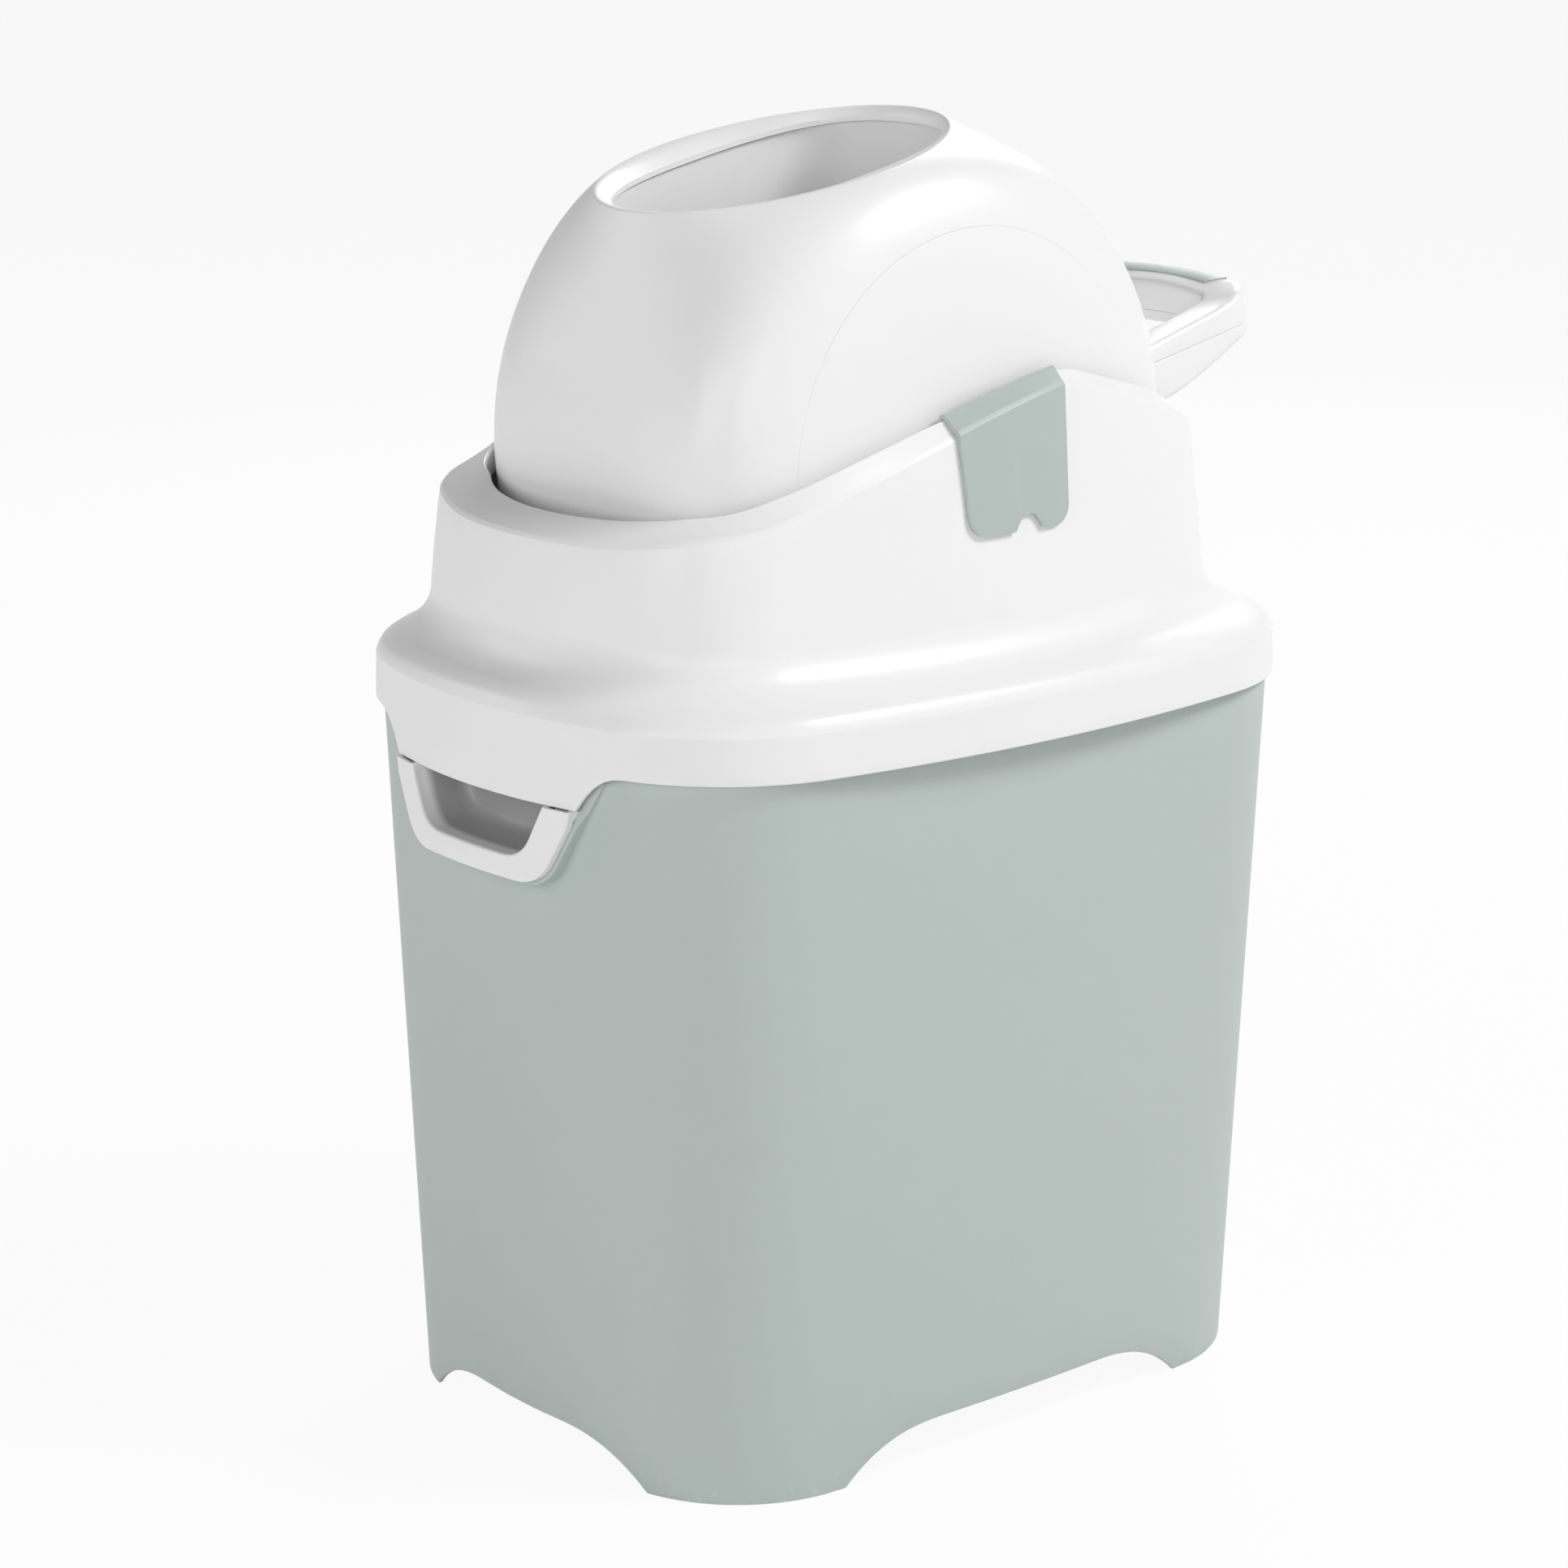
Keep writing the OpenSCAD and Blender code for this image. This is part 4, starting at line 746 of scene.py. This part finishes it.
def piston_disc():
    """Dished piston: a web in the middle of a skirt with rounded edges"""
    low, top, mid = -BORE_TOP, PISTON_H - BORE_TOP, PISTON_H / 2 - BORE_TOP
    edge = LEDGE - PISTON_GAP
    inside, groove = edge - 2.4, edge - 1.4
    rings = []
    for t in turns(128):
        def at(d, z, share=1.0):
            p = oval(THROAT_A + d, THROAT_B + d, THROAT_P, t) * share
            return p.x, p.y + THROAT_MID, z

        line = [at(0, mid + 1.5, 0.4), at(inside, mid + 1.5), at(inside, top), at(edge, top), at(edge, mid + 3),
                at(groove, mid + 3), at(groove, mid - 3), at(edge, mid - 3), at(edge, low), at(inside, low),
                at(inside, mid - 1.5), at(0, mid - 1.5, 0.4)]
        rings.append(rounded(line, [0, 6, 0.8, 0.8, 0.3, 0.3, 0.3, 0.3, 0.8, 0.8, 6, 0], 4))
    ends = [(0, THROAT_MID, mid + 1.5), (0, THROAT_MID, mid - 1.5)]
    return loft("piston_moulding", rings, loop=False, poles=ends)


# ---- handle
def handle_loop(half, reach, r):
    """Half of a loop's plan is mirrored: from the left root round the bar to the right root"""
    steps, straight = 8, reach - BAR_BOW - r
    turn = [k / steps * pi / 2 for k in range(steps + 1)]
    arc = [(half - r + r * cos(t), straight + r * sin(t)) for t in turn]
    arm = [(half, y) for y in span(HANDLE_ROOT, straight, steps)[:-1]]
    bar = [((half - r) * x, reach - BAR_BOW * x * x) for x in span(0.86, -0.86, 12)]
    right = arm + arc
    left = [(-x, y) for x, y in reversed(right)]
    return [Vector(p) for p in right + bar + left]


def on_drum(p, depth):
    """Pulls a root point onto the drum's skin, sunk by depth"""
    return p.x, sqrt(max(crown(p.x) ** 2 - p.z * p.z, 0)) - depth, p.z


def level(z):
    return [(0, z), (REACH, z)]


def handle_shell(name, low, high, inset, r_low, r_high):
    """Loop between two lines, its lower and upper side, that are tables along y"""
    outer = handle_loop(HALF - inset, REACH - inset, 17 - inset)
    inner = handle_loop(HALF - ARM_W + inset, REACH - BAR_W + inset, 9)
    rings = []
    for o, q in zip(outer, inner):
        line = [up(p, table_at(table, p.y)) for p, table in ((q, low), (o, low), (o, high), (q, high))]
        rings.append(rounded(line, [r_low, r_low, r_high, r_high], 5, closed=True))
    for k in (0, -1):
        rings[k] = [on_drum(p, 0.6) for p in rings[k]]
    return prism(name, rings)


def handle_inlay():
    """Sage strip let into the bar's raised back edge, cut off at a slant"""
    rings = []
    for k in across(1, 24):
        back = REACH - 0.7 - BAR_BOW * k * k
        o, q = vec(INLAY_BACK * k, back), vec(INLAY_FRONT * k, back - INLAY_WIDE)
        line = [up(p, table_at(TOP_LINE, p.y) + rise) for p, rise in ((q, -1.5), (o, -1.5), (o, 0.2), (q, 0.2))]
        rings.append(rounded(line, [0.2, 0.2, 0.3, 0.3], 3, closed=True))
    return prism("handle_strip", rings)


# ---- node trees
def math_node(operation, turned=False):
    """An operator of Num, which adds one Math node"""
    def add(self, *others):
        values = [self, *others]
        return self.nodes.maths(operation, *(reversed(values) if turned else values))

    return add


class Num:
    """A socket of a node tree; arithmetic on it adds Math nodes"""

    def __init__(self, nodes, socket):
        self.nodes, self.socket = nodes, socket

    __add__ = __radd__ = math_node("ADD")
    __mul__ = __rmul__ = math_node("MULTIPLY")
    __sub__, __rsub__ = math_node("SUBTRACT"), math_node("SUBTRACT", True)
    __truediv__, __rtruediv__ = math_node("DIVIDE"), math_node("DIVIDE", True)
    __pow__, __abs__, sign = math_node("POWER"), math_node("ABSOLUTE"), math_node("SIGN")
    at_least, at_most = math_node("MAXIMUM"), math_node("MINIMUM")

    def clamp(self):
        return self.at_least(0.0).at_most(1.0)


class Nodes:
    """A node tree under construction"""

    def __init__(self, tree):
        self.tree = tree
        tree.nodes.clear()

    def node(self, kind, values=(), out=0, **settings):
        """Adds a node: its settings are made first, then the values or links of its sockets"""
        made = self.tree.nodes.new(kind)
        for key, value in settings.items():
            setattr(made, key, value)
        for key, value in dict(values).items():
            for item in value if isinstance(value, list) else [value]:
                if isinstance(item, Num):
                    self.tree.links.new(item.socket, made.inputs[key])
                else:
                    made.inputs[key].default_value = item
        return Num(self, made.outputs[out]) if made.outputs else None

    def maths(self, operation, *values):
        return self.node("ShaderNodeMath", dict(enumerate(values)), operation=operation)

    def part(self, vector, axis):
        return self.node("ShaderNodeSeparateXYZ", {"Vector": vector}, axis)


# ---- node trees that build geometry
class Tree(Nodes):
    """A geometry node tree with named sizes and the material that it sets"""

    def __init__(self, name, *sizes):
        super().__init__(bpy.data.node_groups.new(name, "GeometryNodeTree"))
        face = self.tree.interface
        for way in ("INPUT", "OUTPUT"):
            face.new_socket("Geometry", in_out=way, socket_type="NodeSocketGeometry")
        for label in sizes:
            face.new_socket(label, in_out="INPUT", socket_type="NodeSocketFloat")
        face.new_socket("Finish", in_out="INPUT", socket_type="NodeSocketMaterial")
        self.source = self.tree.nodes.new("NodeGroupInput")

    def __getitem__(self, label):
        return Num(self, self.source.outputs[label])

    def bar(self, path, width, height, edge):
        """A rectangular section with rounded edges, carried along a level path"""
        level = self.node("GeometryNodeSetCurveNormal", {"Curve": path}, mode="Z_UP")
        flat = self.node("GeometryNodeCurvePrimitiveQuadrilateral", {"Width": width, "Height": height})
        section = self.node("GeometryNodeFilletCurve", {"Curve": flat, "Count": 3, "Radius": edge}, mode="POLY")
        return self.node("GeometryNodeCurveToMesh", {"Curve": level, "Profile Curve": section})

    def lifted(self, geometry, rise):
        offset = self.node("ShaderNodeCombineXYZ", {"Z": rise})
        return self.node("GeometryNodeSetPosition", {"Geometry": geometry, "Offset": offset})

    def finish(self, geometry):
        real = self.node("GeometryNodeRealizeInstances", {"Geometry": geometry})
        done = self.node("GeometryNodeSetMaterial", {"Geometry": real, "Material": self["Finish"]})
        self.node("NodeGroupOutput", {"Geometry": done})
        return self.tree


def grow(name, tree, inputs, base=None):
    """Runs a tree on a mesh and keeps the result as a plain mesh"""
    obj = new_object(name, base or plain_mesh(name, []))
    mod = obj.modifiers.new("build", "NODES")
    mod.node_group = tree
    for item in tree.interface.items_tree:
        if item.in_out == "INPUT" and item.name in inputs:
            mod[item.identifier] = inputs[item.name]
    apply_modifiers(obj)
    with editing(obj.data) as bm:
        bmesh.ops.remove_doubles(bm, verts=bm.verts, dist=MERGE)
        bmesh.ops.recalc_face_normals(bm, faces=bm.faces)
    return finish_mesh(obj)


def ring_tree():
    """A squared oval hoop of rectangular section with rounded edges: the bore's liner and the piston's seal"""
    t = Tree("oval hoop", "Half Width", "Half Length", "Squareness", "Low", "High", "Wall", "Edge")
    circle = t.node("GeometryNodeCurvePrimitiveCircle", {"Resolution": 144})
    spot = t.node("GeometryNodeInputPosition")
    power = 2.0 / t["Squareness"]

    def axis(label, half):
        c = t.part(spot, label)
        return abs(c) ** power * c.sign() * t[half]

    where = t.node("ShaderNodeCombineXYZ", {"X": axis("X", "Half Width"), "Y": axis("Y", "Half Length")})
    squared = t.node("GeometryNodeSetPosition", {"Geometry": circle, "Position": where})
    low, high = t["Low"], t["High"]
    hoop = t.bar(squared, t["Wall"], high - low, t["Edge"])
    return t.finish(t.lifted(hoop, (high + low) * 0.5))


def screw_tree():
    """Pan head screws with a cross recess, one on each vertex of the mesh that it is given"""
    t = Tree("screws", "Head Radius", "Head Height")
    tall = t["Head Height"]
    head = t.node("GeometryNodeMeshCylinder", {"Vertices": 40, "Radius": t["Head Radius"], "Depth": tall},
                  fill_type="NGON")
    rise = t.node("ShaderNodeCombineXYZ", {"Z": tall})
    blades = []
    for size in ((0.0052, 0.0011, 0.003), (0.0011, 0.0052, 0.003)):
        bar = t.node("GeometryNodeMeshCube", {"Size": size})
        blades.append(t.node("GeometryNodeTransform", {"Geometry": bar, "Translation": rise}))
    cross = t.node("GeometryNodeMeshBoolean", {"Mesh 2": blades}, operation="UNION")
    recessed = t.node("GeometryNodeMeshBoolean", {"Mesh 1": head, "Mesh 2": cross}, operation="DIFFERENCE")
    turned = t.node("GeometryNodeTransform", {"Geometry": recessed, "Rotation": (pi / 2, 0, 0)})
    return t.finish(t.node("GeometryNodeInstanceOnPoints", {"Points": t["Geometry"], "Instance": turned}))


def hem_tree():
    """A hem ring: a lip and a skirt carried round the outline that it is given"""
    t = Tree("hem ring", "Lip Width", "Lip Height", "Skirt Width", "Skirt Height")
    path = t.node("GeometryNodeMeshToCurve", {"Mesh": t["Geometry"]})
    parts = []
    for part, side in (("Lip", 0.5), ("Skirt", -0.5)):
        tall = t[part + " Height"]
        parts.append(t.lifted(t.bar(path, t[part + " Width"], tall, 0.0005), tall * side))
    return t.finish(t.node("GeometryNodeJoinGeometry", {"Geometry": parts}))


# ---- node trees that paint
class Paint(Nodes):
    """One material's node tree"""

    def __init__(self, name):
        self.material = bpy.data.materials.new(name)
        self.material.use_nodes = True
        super().__init__(self.material.node_tree)
        self.at = self.node("ShaderNodeTexCoord", out="Object")

    def noise(self, scale, detail=2.0, stretch=None):
        where = self.at
        if stretch:
            where = self.node("ShaderNodeMapping", {"Vector": where, "Scale": stretch})
        return self.node("ShaderNodeTexNoise", {"Vector": where, "Scale": scale, "Detail": detail})

    def blend(self, share, a, b):
        return self.node("ShaderNodeMix", {0: share, 6: a, 7: b}, 2, data_type="RGBA")

    def bump(self, height, depth, **under):
        """Relief of a given depth in millimetres, over the normal that is given"""
        return self.node("ShaderNodeBump", {"Height": height, "Distance": depth * MM, **under})

    def shine(self, colour, **sockets):
        named = {key.replace("_", " "): value for key, value in sockets.items()}
        shader = self.node("ShaderNodeBsdfPrincipled", {"Base Color": colour, **named})
        self.node("ShaderNodeOutputMaterial", {"Surface": shader})
        return self.material


def rgb(*c):
    return (*c, 1.0)


def shade(colour, k):
    return rgb(*(c * k for c in colour[:3]))


def plastic(name, colour, rough, grain, grain_depth, ripple_depth, scuffs=0.0, coat=0.0, gloss=0.5, pocket=None):
    """Moulded plastic: drifting tone, fine spark texture, faint flow ripple, scuffs close to the floor, and, when a
    pocket colour is given, painted shade inside the grip's pocket
    """
    p = Paint(name)
    drift = p.noise(7, 3)
    grains = p.noise(grain, 2)
    ripple = p.noise(28, 1, (1, 1, 0.35))
    tone = p.blend(drift, shade(colour, 0.985), shade(colour, 1.012))
    roughness = rough + (drift - 0.5) * 0.06 + (grains - 0.5) * 0.05
    if scuffs:
        low = (1 - p.part(p.at, "Z") / SCUFF_TOP).clamp()
        marks = ((p.noise(220, 4) - 0.56) * 9).clamp() * low * scuffs
        tone = p.blend(marks, tone, shade(colour, 1.18))
        roughness = roughness + marks * 0.2
    # painted shade: the inside of the grip's white pocket is darkened towards the given grey, standing in for the
    # shadow in the recess
    if pocket:
        x, y = p.part(p.at, "X"), p.part(p.at, "Y") - FACE_Y * MM
        inside = ((BOSS_RAD * MM - (x * x + y * y) ** 0.5) / POCKET_SHADE_FADE).clamp()
        tone = p.blend(inside, tone, pocket)
    relief = p.bump(ripple, ripple_depth, Normal=p.bump(grains, grain_depth))
    return p.shine(tone, Roughness=roughness, Normal=relief, Coat_Weight=coat, Coat_Roughness=0.12,
                   Specular_IOR_Level=gloss)


def rubber(name, colour):
    p = Paint(name)
    bloom = p.noise(60, 4)
    tone = p.blend(bloom, shade(colour, 0.85), shade(colour, 1.25))
    return p.shine(tone, Roughness=0.62 + bloom * 0.1, Normal=p.bump(p.noise(2600, 2), 0.04))


def steel(name, colour):
    p = Paint(name)
    lines = p.noise(900, 2, (0.03, 1, 1))
    tone = p.blend(lines, shade(colour, 0.9), shade(colour, 1.05))
    return p.shine(tone, Metallic=1.0, Roughness=0.22 + lines * 0.16, Normal=p.bump(lines, 0.01))


# POCKET_SHADE_FADE: how far in from the pocket's edge the painted pocket shade takes to reach full strength
SCUFF_TOP, POCKET_SHADE_FADE = 0.014, 0.004        # metres
SAGE, TRIM = rgb(0.470, 0.533, 0.512), rgb(0.440, 0.500, 0.476)
# POCKET_SHADE_GREY is painted shade: the grip's white pocket darkened as if in shadow, not a grey part
WHITE, GREY, POCKET_SHADE_GREY = rgb(0.86, 0.86, 0.858), rgb(0.74, 0.74, 0.745), rgb(0.36, 0.365, 0.36)
GLOSSY = {"coat": 0.06, "gloss": 0.35}
# the record's material slots
LOOKS = {
    "sage_shell": plastic("sage satin shell", SAGE, 0.44, 1900, 0.03, 0.04, 0.5),
    "sage_trim": plastic("sage satin trim", TRIM, 0.40, 2100, 0.02, 0.02),
    "white_gloss": plastic("white semi gloss", WHITE, 0.33, 1400, 0.008, 0.03, **GLOSSY),
    "bore_grey": plastic("grey satin bore", GREY, 0.45, 1700, 0.02, 0.02),
    "seal_rubber": rubber("seal rubber", rgb(0.10, 0.105, 0.105)),
    "pin_steel": steel("drawn steel", rgb(0.60, 0.60, 0.61))}
# the grip's white moulding, with painted shade darkening the inside of its pocket
CUP_LOOK_WITH_PAINTED_SHADE = plastic("white with a grey pocket", WHITE, 0.33, 1400, 0.008, 0.03, pocket=POCKET_SHADE_GREY, **GLOSSY)


def dress(obj, material):
    obj.data.materials.clear()
    obj.data.materials.append(material)


def put(obj, body, slot, node, look=None):
    """Gives a finished piece its material and its body, and hides the imported node that it stands in for"""
    if body in ("drum", "plunger"):
        obj.data.transform(DRUM_FRAME)
    dress(obj, look or LOOKS[slot])
    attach(obj, body)
    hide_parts(node)


# ---- the object
def hem_ring():
    """Ring that holds the bag's hem in the bucket's rim"""
    side, end = 100, 80
    middle = RIM_INSET + (HEM_OUT + WALL + HEM_FIT + HEM_T) / 2
    spots = []
    for s in around(across(side, 40), across(end, 32), across(end, 32), 16):
        p, n = skirt.at(s, side, end)
        spots.append(up(p - n * middle, BUCKET_H + HEM_RISE) * MM)
    mesh = plain_mesh("hem_path", spots, [(i, (i + 1) % len(spots)) for i in range(len(spots))])
    inputs = {"Lip Width": (WALL + HEM_FIT + HEM_OUT) * MM, "Lip Height": HEM_T * MM, "Skirt Width": HEM_T * MM,
              "Skirt Height": HEM_DOWN * MM, "Finish": LOOKS["white_gloss"]}
    return grow("bag_ring_moulding", hem_tree(), inputs, mesh)


def screws():
    x = HALF - ARM_W / 2
    radius = crown(x + SCREW_R, DRUM_W / 2 - SKIN, DRUM_R - SKIN)
    spots = [(side * x * MM, (sqrt(radius**2 - (abs(z) + SCREW_R) ** 2) - 2.2) * MM, z * MM)
             for side in (-1, 1) for z in (-5, -20)]
    inputs = {"Head Radius": SCREW_R * MM, "Head Height": SCREW_H * MM, "Finish": LOOKS["pin_steel"]}
    return grow("handle_screw_heads", screw_tree(), inputs, plain_mesh("screw_places", spots))


def hoop(name, outer, inner, low, high, slot):
    """An oval hoop round the bore, outer and inner being offsets from the throat"""
    mid = (outer + inner) / 2
    sizes = {"Half Width": THROAT_A + mid, "Half Length": THROAT_B + mid, "Low": low, "High": high,
             "Wall": outer - inner, "Edge": 0.4}
    inputs = {label: size * MM for label, size in sizes.items()}
    obj = grow(name, ring_tree(), {**inputs, "Squareness": THROAT_P, "Finish": LOOKS[slot]})
    obj.data.transform(Matrix.Translation((0, THROAT_MID * MM, 0)))
    return obj


def build():
    put(bucket(), "base", "sage_shell", "bucket")
    put(grip(), "base", "white_gloss", "grip_cup", CUP_LOOK_WITH_PAINTED_SHADE)
    put(hem_ring(), "base", "white_gloss", "bag_ring")
    put(lid(), "lid", "white_gloss", "lid_shell")
    for side, word in SIDES:
        put(clip(side, word), word + "_clip", "sage_trim", "clip_" + word)
    put(drum(), "drum", "white_gloss", "drum_shell")
    for side, word in SIDES:
        put(drum_cap(side, word), "drum", "white_gloss", "drum_cap_" + word)
    put(hoop("liner_moulding", LEDGE + LINER_T, LEDGE, -BORE_TOP, BORE_TOP, "bore_grey"), "drum", "bore_grey",
        "bore_liner")
    put(handle_shell("handle_top", level(SPLIT), TOP_LINE, 0, 0.3, 4), "drum", "white_gloss", "handle_upper")
    put(handle_shell("handle_bottom", LOW_LINE, level(SPLIT - SPLIT_GAP), 0.15, 5, 0.3), "drum", "white_gloss",
        "handle_lower")
    put(handle_inlay(), "drum", "sage_trim", "handle_inlay")
    put(screws(), "drum", "pin_steel", "handle_screws")
    put(piston_disc(), "plunger", "bore_grey", "piston")
    mid = PISTON_H / 2 - BORE_TOP
    put(hoop("seal_ring", LEDGE - 0.3, LEDGE - PISTON_GAP - 1.2, mid - 2.6, mid + 2.6, "seal_rubber"), "plunger",
        "seal_rubber", "piston_seal")
    for node, slot in (("hinge_bracket", "sage_shell"), ("lid_hinge", "white_gloss"), ("hinge_pin", "pin_steel")):
        dress(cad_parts[node], LOOKS[slot])


# ---- floor, camera and light
CAM_AZIMUTH, CAM_RISE = radians(49.96), radians(14.92)
CAM_FAR, CAM_LENS, CAM_SENSOR = 1910.0, 91.455, 36.0
AIM_SIDE, AIM_UP = -21.95, 286.7


def away(turn, rise):
    """Direction from the bin, at a turn from its front to its right and a height angle"""
    return vec(sin(turn) * cos(rise), -cos(turn) * cos(rise), sin(rise))


def camera():
    right = vec(cos(CAM_AZIMUTH), sin(CAM_AZIMUTH), 0)
    back = away(CAM_AZIMUTH, CAM_RISE)
    data = bpy.data.cameras.new("camera")
    data.lens, data.sensor_width, data.clip_end = CAM_LENS, CAM_SENSOR, 100
    cam = new_object("camera", data)
    cam.location = (right * AIM_SIDE + vec(0, 0, AIM_UP) + back * CAM_FAR) * MM
    cam.rotation_euler = back.to_track_quat("Z", "Y").to_euler()
    bpy.context.scene.camera = cam


def floor():
    """Pale floor: nearly white to the camera, but it still darkens in the object's shadow"""
    far = FLOOR_HALF
    corners = [(-far, -far, 0), (far, -far, 0), (far, far, 0), (-far, far, 0)]
    obj = new_object("floor", plain_mesh("floor", corners, faces=[(0, 1, 2, 3)]))
    p = Paint("pale floor")
    seen = p.node("ShaderNodeLightPath", out="Is Camera Ray")
    glossy = p.node("ShaderNodeLightPath", out="Is Glossy Ray")
    cloth = p.node("ShaderNodeBsdfDiffuse", {"Color": rgb(0.82, 0.82, 0.82)})
    glow = p.node("ShaderNodeEmission")
    both = p.node("ShaderNodeMixShader", {0: (seen + glossy).clamp() * FLOOR_GLOW, 1: cloth, 2: glow})
    p.node("ShaderNodeOutputMaterial", {"Surface": both})
    dress(obj, p.material)


# name, turn from the camera to its right, height angle (degrees), size (m), power (W)
SOFTBOXES = [("key", 75, 46, 0.9, 52), ("glint", 90, 50, 0.5, 7), ("back right", 165, 35, 1.2, 37),
             ("front left", -40, 16, 1.4, 23), ("front", 0, 18, 1.4, 13), ("left", -100, 25, 1.2, 8)]
SOFTBOX_FAR, SOFTBOX_AIM = 3.0, 0.3
SKY, SKY_FADE = 0.62, 0.75            # brightness at the horizon, and where it has faded out
FLOOR_HALF, FLOOR_GLOW = 30, 0.93     # metres, and the floor's own share of white


def softbox(name, turn, rise, size, power):
    """A square light that looks at the bin's middle"""
    data = bpy.data.lights.new(name, "AREA")
    data.shape, data.size, data.energy = "SQUARE", size, power
    obj = new_object(name, data)
    way = away(CAM_AZIMUTH + radians(turn), radians(rise))
    obj.location = vec(0, 0, SOFTBOX_AIM) + way * SOFTBOX_FAR
    obj.rotation_euler = way.to_track_quat("Z", "Y").to_euler()


def sky():
    """White to the camera; as a light it is brightest at the horizon and dark overhead"""
    world = bpy.data.worlds.new("studio")
    bpy.context.scene.world = world
    world.use_nodes = True
    t = Nodes(world.node_tree)
    rise = t.part(t.node("ShaderNodeTexCoord", out="Generated"), "Z")
    fade = t.node("ShaderNodeMapRange", {"Value": rise, "From Max": SKY_FADE, "To Min": SKY, "To Max": 0.0})
    dim = t.node("ShaderNodeBackground", {"Color": rgb(1, 1, 1), "Strength": fade})
    bright = t.node("ShaderNodeBackground", {"Color": rgb(1, 1, 1)})
    seen = t.node("ShaderNodeLightPath", out="Is Camera Ray")
    both = t.node("ShaderNodeMixShader", {0: seen, 1: dim, 2: bright})
    t.node("ShaderNodeOutputWorld", {"Surface": both})


build()
floor()
camera()
sky()
for box in SOFTBOXES:
    softbox(*box)
bpy.context.scene.view_settings.view_transform = "Standard"
